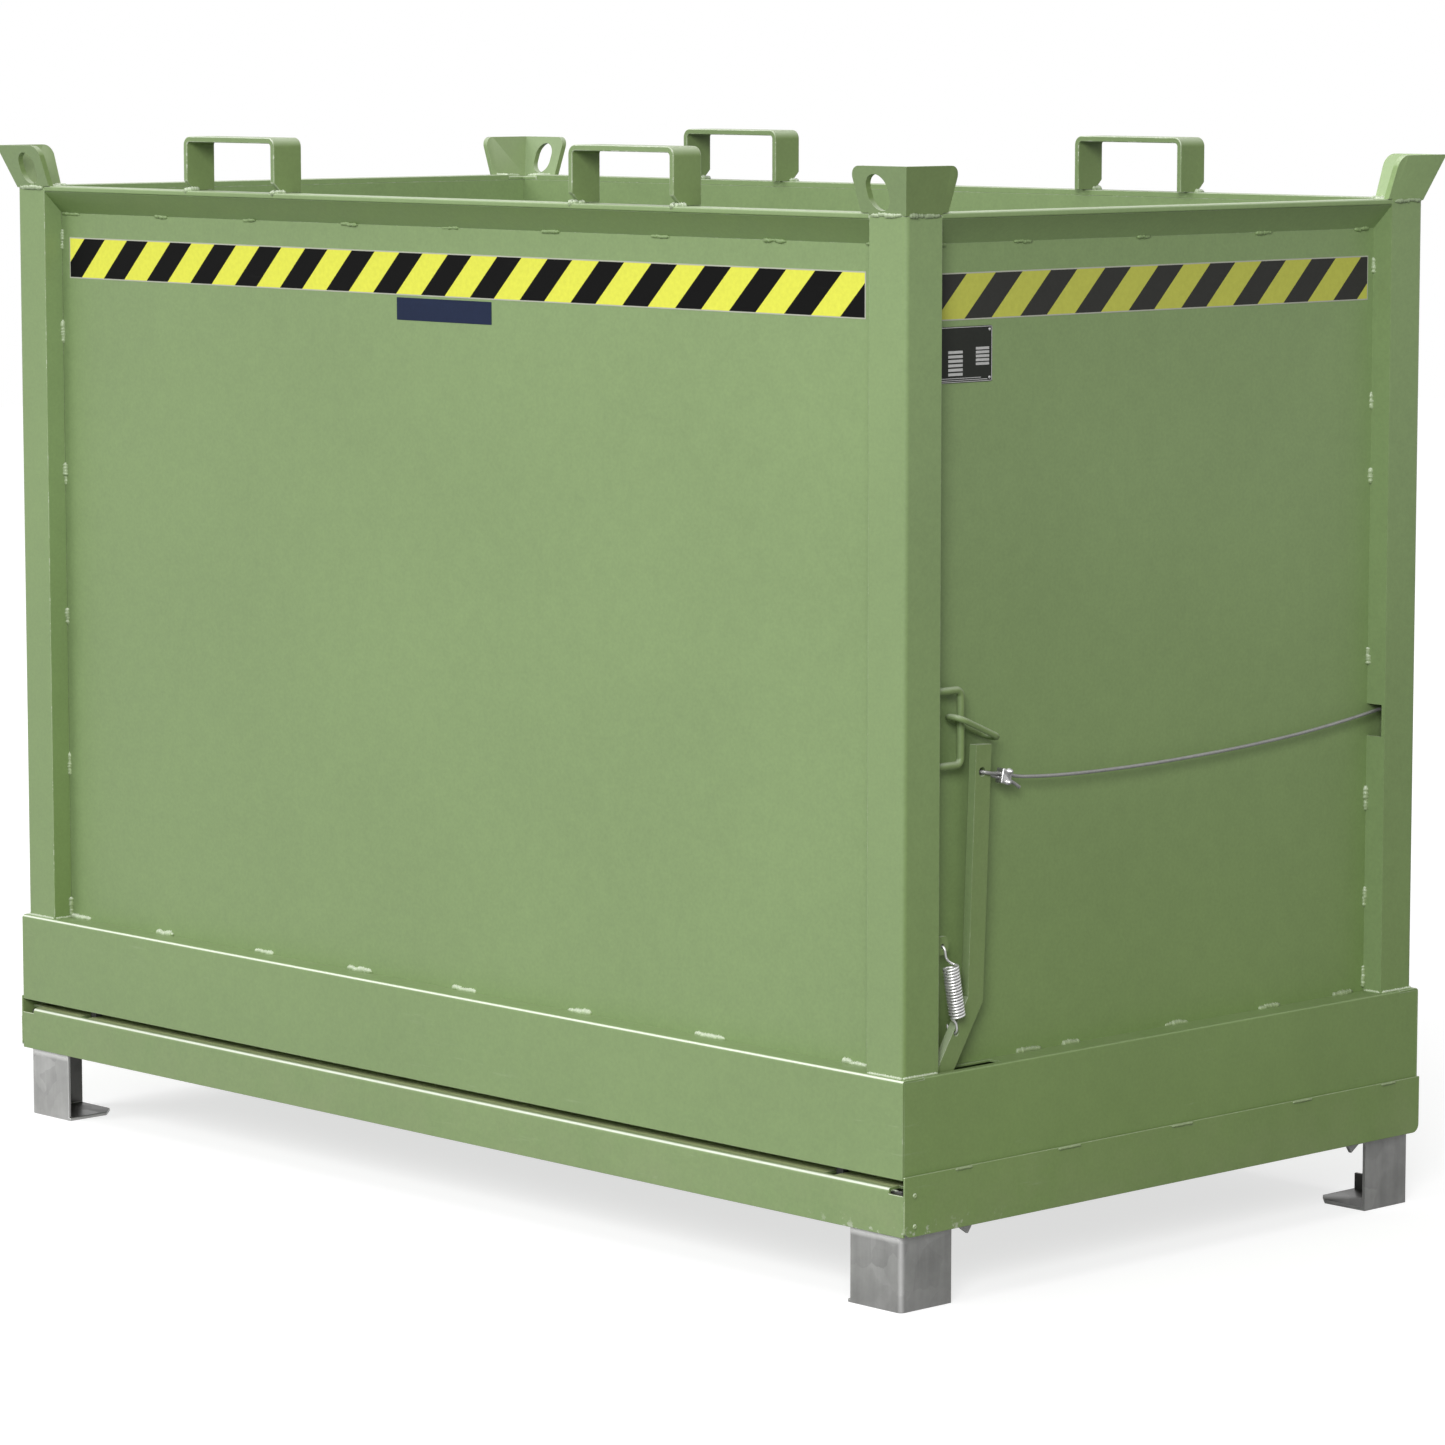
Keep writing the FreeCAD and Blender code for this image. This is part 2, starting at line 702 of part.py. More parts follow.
# Fork loops: flat bar bent to a U, the legs' outer lower corners cut off. Seen from above, the four sit
# a little off the mirrored places, turned half round the middle.
def make_loops():
    wide = cell("loop_wide") / 2
    bar = cell("loop_bar")
    top = cell("loop_top")
    off = cell("loop_chamfer")
    over = cell("overrun")
    for label, side_x, side_y in (("loop_front_left", -1, -1), ("loop_front_right", 1, -1),
                                  ("loop_back_left", -1, 1), ("loop_back_right", 1, 1)):
        middle = cell("loop_from_middle") * side_x + cell("loop_shift") * side_y
        body = new_body(label)
        bend = [(middle - wide, rim_top), (middle - wide, top), (middle + wide, top), (middle + wide, rim_top),
                (middle + wide - bar, rim_top), (middle + wide - bar, top - bar),
                (middle - wide + bar, top - bar), (middle - wide + bar, rim_top)]
        depth = sorted([half_y * side_y, (half_y - cell("loop_deep")) * side_y], key=value_of)
        pad(body, "XZ", *depth, [bend])
        round_edges(body, [(1, (middle - wide, top)), (1, (middle + wide, top))], cell("loop_round"))
        inner = [(1, (middle - wide + bar, top - bar)), (1, (middle + wide - bar, top - bar))]
        round_edges(body, inner, cell("loop_round") - bar)
        corner = [((half_y + over) * side_y, rim_top + off + over), ((half_y - off - over) * side_y, rim_top - over),
                  ((half_y + over) * side_y, rim_top - over)]
        pocket(body, "YZ", middle, cell("loop_wide") + over, [corner])


# Floor plate of the flap, and the lips that hang from its edges
def make_flap():
    skin = cell("floor_skin")
    floor = new_body("flap_floor")
    plate = rectangle(-lip_in_x, lip_in_x, -cell("floor_front"), cell("back_lip_y"))
    pad(floor, "XY", floor_low, cell("floor_top"), [plate])
    front = new_body("flap_lip_front")
    angle = [(-band_y, cell("flap_low")), (-band_y, cell("floor_top")),
             (-cell("floor_front"), cell("floor_top")), (-cell("floor_front"), floor_low),
             (skin - band_y, floor_low), (skin - band_y, cell("flap_low"))]
    pad(front, "YZ", -lip_in_x, lip_in_x, [angle])
    round_edges(front, [(0, (-band_y, cell("floor_top")))], cell("lip_round"))
    over = cell("overrun")
    notch_x = lip_in_x - cell("lip_notch_long")
    notch_z = floor_low - cell("lip_notch_deep") + skin / 2
    notches = [rectangle(notch_x, lip_in_x + over, notch_z, cell("floor_top") + over),
               rectangle(-lip_in_x - over, -notch_x, notch_z, cell("floor_top") + over)]
    pocket(front, "XZ", -band_y, over * 2, notches)
    half = cell("hook_slot_half")
    slots = [rectangle(cell("hook_at") * side - half, cell("hook_at") * side + half,
                       skin * 1.5 - band_y, over - cell("floor_front")) for side in (-1, 1)]
    pocket(front, "XY", floor_low + skin / 2, skin * 2, slots)
    right = new_body("flap_lip_right")
    outline = [(-band_y, cell("flap_low")), (band_y, cell("flap_low")), (band_y, cell("side_lip_back")),
               (-band_y, cell("side_lip_front"))]
    pad(right, "YZ", lip_in_x, lip_out_x, [outline])
    lower = [(0, (-band_y, cell("flap_low"))), (0, (band_y, cell("flap_low")))]
    round_edges(right, lower, cell("side_lip_round"))
    mirrored("flap_lip_left", right, across_x)
    box("flap_lip_back", (-lip_in_x, cell("back_lip_y") - cell("lip_skin"), cell("flap_low")),
        (lip_in_x, cell("back_lip_y"), floor_low))
    back_in = cell("back_lip_y") - cell("lip_skin")
    rail = box("Rail", (-cell("rail_half"), -cell("rail_from"), floor_low - cell("rail_tall")),
               (cell("rail_half"), cell("rail_deep") - cell("rail_from"), floor_low), keep=False)
    bars = [rail]
    half = cell("cross_skin") / 2
    low_end = -cell("rail_half")
    for place in (-cell("cross_outer"), -cell("cross_inner"), cell("cross_inner"), cell("cross_outer"), None):
        if place is not None:
            bars.append(box("Cross", (place - half, cell("rail_deep") - cell("rail_from"),
                                      floor_low - cell("cross_tall")), (place + half, back_in, floor_low), keep=False))
        high_end = cell("rail_half") if place is None else place - half
        bars.append(box("Spine", (low_end, -half, floor_low - cell("spine_tall")), (high_end, half, floor_low),
                        keep=False))
        low_end = None if place is None else place + half
    frame = doc.addObject("Part::Compound", "Bars")
    frame.Links = bars
    kept(frame, "flap_frame")


# Feet of folded plate under the flap's corners. The back ones are open to the rear above a low lip.
def make_feet():
    skin = cell("foot_skin")
    out_x = cell("foot_x")
    out_y = cell("foot_y")
    in_x = out_x - cell("foot_wide")
    in_y = out_y - cell("foot_wide")
    for label, side in (("foot_front_right", -1), ("foot_back_right", 1)):
        body = new_body(label)
        plate_x = in_x - cell("foot_plate_extra")
        plate = [(out_x, out_y * side), (plate_x, out_y * side), (plate_x, (in_y + cell("foot_cut")) * side),
                 (plate_x + cell("foot_cut"), in_y * side), (out_x, in_y * side)]
        pad(body, "XY", zero, skin, [plate])
        strip_end = out_y - cell("foot_strip_end")
        vee = out_y - cell("foot_vee")
        vee_flat = out_y - cell("foot_vee_flat")
        strip_low = cell("foot_strip_low")
        side_wing = [(out_y * side, zero), (in_y * side, zero), (in_y * side, strip_low),
                     (vee_flat * side, strip_low), (vee * side, cell("flap_low") - cell("foot_vee_drop")),
                     (strip_end * side, cell("flap_low")), (strip_end * side, floor_low),
                     (out_y * side, floor_low)]
        pad(body, "YZ", out_x - skin, out_x, [side_wing])
        wing_top = floor_low if side < 0 else cell("foot_lip")
        walls = sorted([out_y * side, (out_y - skin) * side], key=value_of)
        pad(body, "XZ", *walls, [rectangle(in_x, out_x, zero, wing_top)])
        round_edges(body, [(2, (out_x, out_y * side))], cell("foot_round"))
        mirrored(label.replace("right", "left"), body, across_x)


# Hinge sets: two ears on the band, a tongue on the flap between them, and a headed pin
def make_hinges():
    axis_y = cell("hinge_y")
    axis_z = cell("hinge_z")
    knuckle = cell("knuckle")
    over = cell("overrun")
    ear_in = cell("tongue_half") + cell("ear_gap")
    ear_out = ear_in + cell("ear_skin")
    for label, place in (("left", -1), ("middle", 0), ("right", 1)):
        middle = cell("hinge_step") * place
        arm = [(band_y, cell("ear_low")), (axis_y, axis_z), (axis_y + knuckle, axis_z),
               (band_y + cell("ear_deep"), cell("ear_top")), (band_y, cell("ear_top"))]
        plates = []
        for side in (-1, 1):
            low, high = sorted([middle + ear_in * side, middle + ear_out * side], key=value_of)
            ear = doc.addObject("PartDesign::Body", "Ear")
            pad(ear, "YZ", low, high, [arm])
            pad(ear, "YZ", low, high, circles=[(axis_y, axis_z, knuckle)])
            pocket(ear, "YZ", middle + (ear_in + ear_out) * (side / 2), cell("ear_skin") + over,
                   circles=[(axis_y, axis_z, cell("pin") + cell("pin_fit"))])
            plates.append(ear)
        pair = doc.addObject("Part::Compound", "Ears")
        pair.Links = plates
        kept(pair, f"hinge_ears_{label}")
        tongue = new_body(f"hinge_tongue_{label}")
        half = cell("tongue_half")
        lip_y = cell("back_lip_y")
        foot = [(lip_y, cell("tongue_low")), (lip_y + cell("tongue_foot"), cell("tongue_low")),
                (axis_y + knuckle, axis_z), (axis_y, axis_z), (lip_y, cell("tongue_top"))]
        pad(tongue, "YZ", middle - half, middle + half, [foot])
        pad(tongue, "YZ", middle - half, middle + half, circles=[(axis_y, axis_z, knuckle)])
        pocket(tongue, "YZ", middle, half * 2 + over,
               circles=[(axis_y, axis_z, cell("pin") + cell("pin_play"))])
    pins = []
    head = ear_out + cell("pin_head_long")
    outline = [(-head, zero), (-head, cell("pin_head")), (-ear_out, cell("pin_head")), (-ear_out, cell("pin")),
               (ear_out, cell("pin")), (ear_out, cell("pin_head")), (head, cell("pin_head")), (head, zero)]
    for place in (-1, 0, 1):
        pin = turned("Pin", outline, (cell("hinge_step") * place, axis_y, axis_z))
        nodes.remove(pin)
        pins.append(pin)
    group = doc.addObject("Part::Compound", "Pins")
    group.Links = pins
    kept(group, "hinge_pins")


# Latch shaft along the front, carried by plates in the base band, with two hooks under the flap's rail
def make_latch():
    axis_y = cell("pivot_y")
    axis_z = cell("pivot_z")
    skin = cell("bearing_skin")
    over = cell("overrun")
    for label, place in (("left", -1), ("middle", 0), ("right", 1)):
        middle = cell("bearing_step") * place - cell("bearing_shift")
        plate = new_body(f"shaft_bearing_{label}")
        outline = rectangle(cell("sheet") - band_y, -panel_y, cell("band_low"), cell("band_top") - cell("sheet"))
        pad(plate, "YZ", middle - skin / 2, middle + skin / 2, [outline])
        pocket(plate, "YZ", middle, skin + over,
               circles=[(axis_y, axis_z, cell("shaft") + cell("shaft_play"))])
    shaft = [(cell("shaft_left"), zero), (cell("shaft_left"), cell("shaft")),
             (cell("shaft_right"), cell("shaft")), (cell("shaft_right"), zero)]
    turned("latch_shaft", shaft, (zero, axis_y, axis_z))
    tip_top = floor_low - cell("rail_tall") - cell("hook_seat")
    for label, side in (("hook_left", -1), ("hook_right", 1)):
        middle = cell("hook_at") * side
        half = cell("hook_skin") / 2
        hook = new_body(label)
        outline = [(cell("hook_back"), axis_z), (cell("hook_back"), cell("hook_low")),
                   (cell("hook_tip"), cell("hook_low")), (cell("hook_tip"), tip_top),
                   (cell("hook_face"), tip_top), (cell("hook_face"), axis_z)]
        pad(hook, "YZ", middle - half, middle + half, [outline])
        pad(hook, "YZ", middle - half, middle + half, circles=[(axis_y, axis_z, cell("hook_hub"))])
        lower = [(0, (cell("hook_back"), cell("hook_low"))), (0, (cell("hook_tip"), cell("hook_low")))]
        round_edges(hook, lower, cell("hook_tip_round"))
        pocket(hook, "YZ", middle, cell("hook_skin") + over,
               circles=[(axis_y, axis_z, cell("shaft") + cell("weld_fit"))])


def vector(x, y, z):
    return FreeCAD.Vector(x, y, z)


# A wire of straight runs and tangent arcs through the given points, with a bend radius at each inner point
def bent_wire(points, radii):
    edges = []
    start = points[0]
    for before, here, after, radius in zip(points, points[1:], points[2:], radii):
        to_before = (before - here).normalize()
        to_after = (after - here).normalize()
        half_turn = (math.pi - to_before.getAngle(to_after)) / 2
        reach = radius * math.tan(half_turn)
        first = here + to_before * reach
        last = here + to_after * reach
        inward = (to_before + to_after).normalize()
        middle = here + inward * (radius / math.cos(half_turn) - radius)
        edges.append(Part.LineSegment(start, first).toShape())
        edges.append(Part.Arc(first, middle, last).toShape())
        start = last
    edges.append(Part.LineSegment(start, points[-1]).toShape())
    return Part.Wire(edges)


# A round bar or rope along a wire
def tube(wire, radius):
    start = wire.Edges[0]
    along = start.tangentAt(start.FirstParameter)
    ring = Part.Wire([Part.makeCircle(radius, start.valueAt(start.FirstParameter), along)])
    return wire.makePipeShell([ring], True, False)


# Lever of bent flat bar on the shaft's right end, with a hub, the rope's hole and the spring's hole
def make_lever():
    skin = plain("lever_skin")
    half = plain("lever_wide") / 2
    inner = plain("lever_inner")
    pivot = vector(inner, plain("pivot_y"), plain("pivot_z"))
    bend = vector(inner, plain("lever_bend_y"), plain("lever_bend_z"))
    top = vector(inner, plain("lever_top_y"), plain("lever_top_z"))
    along = across_x * skin

    def bar(start, end):
        out = (end - start).cross(across_x).normalize() * half
        corners = [start + out, end + out, end - out, start - out]
        return Part.Face(Part.makePolygon(corners + corners[:1])).extrude(along)

    def disc(middle, radius, long=skin):
        return Part.makeCylinder(radius, long, middle, across_x)

    blank = bar(pivot, bend).multiFuse([bar(bend, top), disc(pivot, plain("lever_hub")), disc(bend, half)])
    over = plain("overrun")
    spring_run = vector(0, plain("spring_top_y") - plain("spring_low_y"),
                        plain("spring_top_z") - plain("spring_low_z")).normalize()
    spring_hole = vector(inner, plain("spring_low_y"), plain("spring_low_z"))
    spring_hole += spring_run * plain("spring_hole_shift")
    holes = [disc(pivot - across_x * over, plain("shaft") + plain("weld_fit"), skin + over * 2),
             disc(vector(inner - over, plain("rope_hole_y"), plain("rope_hole_z")), plain("rope_hole"),
                  skin + over * 2),
             disc(spring_hole - across_x * over, plain("spring_hole"), skin + over * 2)]
    solid("lever", blank.removeSplitter().cut(holes).removeSplitter())


# Staple of bent round bar on the post, and the oval ring that runs on it
def make_staple_and_ring():
    x = plain("staple_x")
    post_face = -post_in_y.value
    out = plain("staple_y")
    low = plain("staple_low")
    top = plain("staple_top")
    corners = [vector(x, post_face, low), vector(x, out, low), vector(x, out, top), vector(x, post_face, top)]
    solid("staple", tube(bent_wire(corners, [plain("staple_bend")] * 2), plain("staple_bar")))
    solid("safety_ring", oval_ring(plain("ring_half_wide"), plain("ring_half_long"), plain("ring_bar")),
          FreeCAD.Placement(vector(plain("ring_x"), plain("ring_y"), plain("ring_z")),
                            FreeCAD.Rotation(across_x, plain("ring_tilt"))))


# An oval link of round bar in the XY plane, longer along Y
def oval_ring(half_wide, half_long, bar):
    straight = half_long - half_wide
    pieces = []
    up = vector(0, 0, 1)
    for side in (-1, 1):
        pieces.append(Part.makeCylinder(bar, straight * 2, vector(half_wide * side, -straight, 0), across_y))
        turn = Part.makeTorus(half_wide, bar, vector(0, straight * side, 0), up)
        keep = Part.makeBox(half_wide * 4, half_wide * 2, bar * 4,
                            vector(-half_wide * 2, straight if side > 0 else -straight - half_wide * 2, -bar * 2))
        pieces.append(turn.common(keep))
    return pieces[0].multiFuse(pieces[1:]).removeSplitter()


# Two arcs that leave one point along its tangent and reach the other along its own
def biarc(start, start_way, end, end_way):
    span = end - start
    both = start_way + end_way
    bend = 2 * (1 - start_way.dot(end_way))
    if bend < 1e-9:
        reach = span.dot(span) / (4 * span.dot(end_way))
    else:
        reach = (math.sqrt(span.dot(both) ** 2 + bend * span.dot(span)) - span.dot(both)) / bend
    middle = (start + end + (start_way - end_way) * reach) / 2
    return [arc_from(start, start_way, middle), arc_from(end, end_way * -1, middle)]


# The arc that leaves a point along a tangent and ends at another point
def arc_from(start, way, end):
    chord = end - start
    side = chord - way * chord.dot(way)
    radius = chord.dot(chord) / (2 * side.Length)
    centre = start + side.normalize() * radius
    middle = centre + ((start - centre) + (end - centre)).normalize() * radius
    return (start, middle, end, radius)


# Return spring: a hook through the lever, close coils, and a hook through the tab, as one unbroken wire
def make_spring():
    low = vector(plain("spring_x"), plain("spring_low_y"), plain("spring_low_z"))
    top = vector(plain("spring_x"), plain("spring_top_y"), plain("spring_top_z"))
    up = (top - low).normalize()
    side = up.cross(across_x)
    long = (top - low).Length
    round_coil = plain("spring_round")
    pitch = plain("spring_pitch")
    start_z = plain("spring_start")
    turns = round((long - 2 * start_z - plain("spring_tail")) / pitch)
    half_turn_count = turns * 2 + 1
    end_z = start_z + half_turn_count * pitch / 2
    proud = plain("spring_proud")

    def at(x, y, z):
        return low + across_x * x + side * y + up * z

    def way(x, y, z):
        return (across_x * x + side * y + up * z).normalize()

    def on_coil(half_turns):
        angle = (1.5 + half_turns) * math.pi
        rise = pitch / (2 * math.pi * round_coil)
        point = at(proud + round_coil * math.cos(angle), round_coil * math.sin(angle),
                   start_z + half_turns * pitch / 2)
        return point, way(-math.sin(angle), math.cos(angle), rise)

    hook = plain("spring_low_hook")
    lead = plain("spring_lead")
    tail = plain("spring_tail")
    slant = math.sqrt(0.5)
    runs = [(at(-hook, 0, hook + tail), at(-hook, 0, hook))]
    arcs = [(at(-hook, 0, hook), at(-hook * slant, 0, hook - hook * slant), at(0, 0, 0), hook),
            (at(0, 0, 0), at(hook * slant, 0, hook - hook * slant), at(hook, 0, hook), hook)]
    path = [Part.LineSegment(*runs[0]), *[Part.Arc(*arc[:3]) for arc in arcs]]
    climb = way(0, 0, 1)
    leave = at(hook, 0, start_z - lead)
    path.append(Part.LineSegment(at(hook, 0, hook), leave))
    found = biarc(leave, climb, *on_coil(0))
    path += [Part.Arc(*found[0][:3]), Part.Arc(found[1][2], found[1][1], found[1][0])]
    radii = [piece[3] for piece in found]
    for half_turns in range(half_turn_count):
        found = biarc(*on_coil(half_turns), *on_coil(half_turns + 1))
        path += [Part.Arc(*found[0][:3]), Part.Arc(found[1][2], found[1][1], found[1][0])]
        radii += [piece[3] for piece in found]
    hook = plain("spring_top_hook")
    arrive = at(hook, 0, end_z + lead)
    found = biarc(*on_coil(half_turn_count), arrive, climb)
    path += [Part.Arc(*found[0][:3]), Part.Arc(found[1][2], found[1][1], found[1][0])]
    radii += [piece[3] for piece in found]
    crown = long - hook
    path.append(Part.LineSegment(arrive, at(hook, 0, crown)))
    path += [Part.Arc(at(hook, 0, crown), at(hook * slant, 0, crown + hook * slant), at(0, 0, long)),
             Part.Arc(at(0, 0, long), at(-hook * slant, 0, crown + hook * slant), at(-hook, 0, crown)),
             Part.LineSegment(at(-hook, 0, crown), at(-hook, 0, crown - tail))]
    wire = Part.Wire([piece.toShape() for piece in path])
    solid("return_spring", tube(wire, plain("spring_wire")))
    samples = wire.discretize(Distance=plain("spring_wire") / 2)
    apart = 4 * round_coil
    skip = round(math.pi * round_coil / (plain("spring_wire") / 2))
    for index, point in enumerate(samples):
        for other in samples[index + skip:]:
            apart = min(apart, (point - other).Length)
    print("spring: turns", turns, "least radius", round(min(radii), 2), "least gap to itself",
          round(apart - 2 * plain("spring_wire"), 2))


# Tab on the post that the spring's upper hook goes through
def make_tab():
    tab = new_body("spring_tab")
    half = cell("tab_skin") / 2
    middle = cell("spring_x")
    reach = cell("tab_deep") - post_in_y
    outline = rectangle(-post_in_y, reach, cell("tab_low"), cell("tab_high"))
    pad(tab, "YZ", middle - half, middle + half, [outline])
    round_edges(tab, [(0, (reach, cell("tab_low"))), (0, (reach, cell("tab_high")))], cell("tab_round"))
    pocket(tab, "YZ", middle, cell("tab_skin") + cell("overrun"),
           circles=[(cell("spring_top_y"), cell("spring_top_z"), cell("tab_hole"))])


# The rope's eye through the lever, its clip, the guide roller in the back post, the rope and its pull ring
def make_rope():
    rope = plain("rope")
    side = plain("eye_side")
    part = plain("strand_part")
    far = plain("clip_to")
    near = plain("clip_from")
    place = FreeCAD.Placement(vector(plain("lever_inner") + plain("lever_skin") / 2, plain("rope_hole_y"),
                                     plain("rope_hole_z")), FreeCAD.Rotation(across_x, plain("eye_slope")))
    spread = near * 0.45
    neck = near * 0.87
    route = [vector(0, far, part), vector(0, neck, part), vector(side, spread, 0), vector(side, 0, 0),
             vector(-side, 0, 0), vector(-side, spread, 0), vector(0, neck, -part),
             vector(0, far * 1.06, -part), vector(0, far + near * 0.6, -part - near * 0.2)]
    bends = [rope * 4, rope * 4, side * 0.98, side * 0.98, rope * 4, rope * 4, rope * 5]
    solid("rope_eye", tube(bent_wire(route, bends), rope), place)
    half_x_clip = plain("clip_half_x")
    tall = plain("clip_half_tall")
    saddle = Part.makeBox(half_x_clip * 2, far - near, tall * 2, vector(-half_x_clip, near, -tall))
    saddle = saddle.makeFillet(plain("clip_bolt"), saddle.Edges)
    middle = (near + far) / 2
    pieces = []
    for level in (-1, 1):
        foot = vector(half_x_clip - plain("clip_bolt"), middle, plain("clip_bolt_at") * level)
        pieces.append(Part.makeCylinder(plain("clip_bolt"), plain("clip_bolt_out") + plain("clip_bolt"), foot,
                                        across_x))
        corners = [foot + across_x * plain("clip_bolt")
                   + vector(0, math.cos(turn * math.pi / 3), math.sin(turn * math.pi / 3)) * plain("clip_nut")
                   for turn in range(7)]
        pieces.append(Part.Face(Part.makePolygon(corners)).extrude(across_x * plain("clip_nut_tall")))
    clip = saddle.multiFuse(pieces)
    for level in (-1, 1):
        bore = Part.makeCylinder(rope + plain("clip_fit"), (far - near) * 2,
                                 vector(0, near - (far - near) / 2, part * level), across_y)
        clip = clip.cut(bore)
    solid("rope_clip", clip.removeSplitter(), place)
    end = place.multVec(vector(0, far + plain("rope_seat"), part))
    past_clip = place.multVec(vector(0, far + rope * 6, part))
    wheel_y = plain("roller_y")
    wheel_z = plain("roller_z")
    crown = plain("roller_groove") + rope + plain("rope_seat")
    pull_top = plain("pull_z") + plain("pull_half_long") + plain("pull_bar")
    plan = [end, past_clip, vector(908, -262, 665.2), vector(908, -215, 662.2), vector(908, -150, 660.3),
            vector(907, -80, 659.8), vector(907, -5, 660.6), vector(906, 70, 662.6), vector(906, 145, 665.6),
            vector(905, 215, 669.5), vector(905, 280, 674.2), vector(904, 340, 680), vector(904, 395, 686.6)]
    over_wheel = vector(plain("roller_x"), wheel_y + crown * 0.4, wheel_z + crown * 1.07)
    plan += [over_wheel, vector(898, 510, 664), vector(886, 506, 622),
             vector(plain("pull_x"), plain("pull_y"), pull_top + rope * 8),
             vector(plain("pull_x"), plain("pull_y"), pull_top + plain("rope_seat"))]
    turns = []
    for before, here, after in zip(plan, plan[1:], plan[2:]):
        turn = math.pi - (before - here).getAngle(after - here)
        shorter = min((before - here).Length, (after - here).Length)
        turns.append(0.45 * shorter / math.tan(turn / 2))
    wheel_turn = plan.index(over_wheel) - 1
    turns[wheel_turn] = crown
    print("rope radii", [round(turn) for turn in turns])
    wire = bent_wire(plan, turns)
    shape = tube(wire, rope)
    print("rope volume over section times length", round(shape.Volume / (math.pi * rope ** 2 * wire.Length), 4))
    solid("wire_rope", shape)
    wheel = cell("roller")
    groove = cell("roller_groove")
    wide = cell("roller_half")
    outline = [(-wide, cell("roller_bore")), (-wide, wheel), (-cell("rope"), groove), (cell("rope"), groove),
               (wide, wheel), (wide, cell("roller_bore"))]
    turned("rope_roller", outline, (cell("roller_x"), cell("roller_y"), cell("roller_z")))
    pin = [(zero, zero), (zero, cell("roller_pin")), (half_x - cell("post_skin") - panel_x, cell("roller_pin")),
           (half_x - cell("post_skin") - panel_x, zero)]
    turned("roller_pin", pin, (panel_x, cell("roller_y"), cell("roller_z")))
    pull = oval_ring(plain("pull_half_wide"), plain("pull_half_long"), plain("pull_bar"))
    solid("pull_ring", pull, FreeCAD.Placement(vector(plain("pull_x"), plain("pull_y"), plain("pull_z")),
                                               FreeCAD.Rotation(across_x, 90)))


def check_and_write():
    doc.recompute()
    for feature in doc.Objects:
        if "Invalid" in feature.State or "Error" in feature.State:
            raise RuntimeError(f"{feature.Label} failed: {feature.State}")
    os.makedirs("parts", exist_ok=True)
    for feature in nodes:
        shape = feature.Shape
        if shape.isNull() or not shape.isValid():
            raise RuntimeError(f"{feature.Label} has no valid shape")
        shape.exportStep(f"parts/{feature.Label}.step")
    print(len(nodes), "nodes")


make_walls()
make_rim_bars()
make_posts()
make_bands()
make_lugs()
make_loops()
make_flap()
make_feet()
make_hinges()
make_latch()
make_lever()
make_staple_and_ring()
make_spring()
make_tab()
make_rope()
check_and_write()
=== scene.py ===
import bmesh
import bpy
from math import cos, pi, radians, sin, sqrt
import random
from mathutils import Matrix, Vector


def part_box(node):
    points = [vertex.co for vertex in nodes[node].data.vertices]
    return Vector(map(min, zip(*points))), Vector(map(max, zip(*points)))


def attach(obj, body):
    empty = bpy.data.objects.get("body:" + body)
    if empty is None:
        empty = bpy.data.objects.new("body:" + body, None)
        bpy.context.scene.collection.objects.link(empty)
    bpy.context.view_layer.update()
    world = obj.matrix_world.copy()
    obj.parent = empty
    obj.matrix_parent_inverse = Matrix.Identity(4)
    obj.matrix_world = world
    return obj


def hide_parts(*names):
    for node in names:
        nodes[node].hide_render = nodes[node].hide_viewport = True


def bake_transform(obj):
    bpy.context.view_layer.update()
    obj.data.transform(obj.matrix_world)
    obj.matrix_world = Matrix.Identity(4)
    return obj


# Hinged bottom hopper: painted sheet container, flap floor, lever latch with spring and wire rope.
# All lengths are metres in the CAD frame: X along the long side, front faces -Y, Z up from the ground.

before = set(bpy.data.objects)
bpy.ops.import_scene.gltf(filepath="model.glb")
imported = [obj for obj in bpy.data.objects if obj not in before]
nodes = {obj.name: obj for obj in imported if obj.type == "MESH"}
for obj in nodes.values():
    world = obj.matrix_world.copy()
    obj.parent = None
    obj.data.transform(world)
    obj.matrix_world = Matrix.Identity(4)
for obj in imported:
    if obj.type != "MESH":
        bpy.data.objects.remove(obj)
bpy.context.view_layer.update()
scene = bpy.context.scene
scene.view_settings.view_transform = "Standard"
print("hopper: frame loaded,", len(nodes), "nodes")


# Camera at the photograph's place, for a frame of 1445 x 1445
cameraSetup = {
    "place": (5.803, -5.437, 1.611),
    "tilt": 90 - 7.02,
    "turn": 46.55,
    "lens": 139.09,
}
cameraData = bpy.data.cameras.new("photoCamera")
cameraData.lens = cameraSetup["lens"]
cameraData.sensor_width = 36
cameraData.clip_end = 100
camera = bpy.data.objects.new("photoCamera", cameraData)
camera.location = cameraSetup["place"]
camera.rotation_euler = (radians(cameraSetup["tilt"]), 0, radians(cameraSetup["turn"]))
scene.collection.objects.link(camera)
scene.camera = camera


# Small helpers for node trees, which work on the tree on the bench
bench = {}


def feed(node, values):
    for key, value in values.items():
        socket = node.inputs[key]
        if isinstance(value, bpy.types.NodeSocket):
            bench["tree"].links.new(value, socket)
        else:
            socket.default_value = value
    return node


def added(kind, values=None):
    return feed(bench["tree"].nodes.new("ShaderNode" + kind), values or {})


def calc(operation, first, second=0.0, clamp=False):
    node = added("Math")
    node.operation = operation
    node.use_clamp = clamp
    feed(node, {0: first, 1: second})
    return node.outputs[0]


def times(first, second, clamp=False):
    return calc("MULTIPLY", first, second, clamp)


def plus(first, second, clamp=False):
    return calc("ADD", first, second, clamp)


def minus(first, second):
    return calc("SUBTRACT", first, second)


def larger(first, second):
    return calc("MAXIMUM", first, second)


def below(first, second):
    return calc("LESS_THAN", first, second)


def above(first, second):
    return calc("GREATER_THAN", first, second)


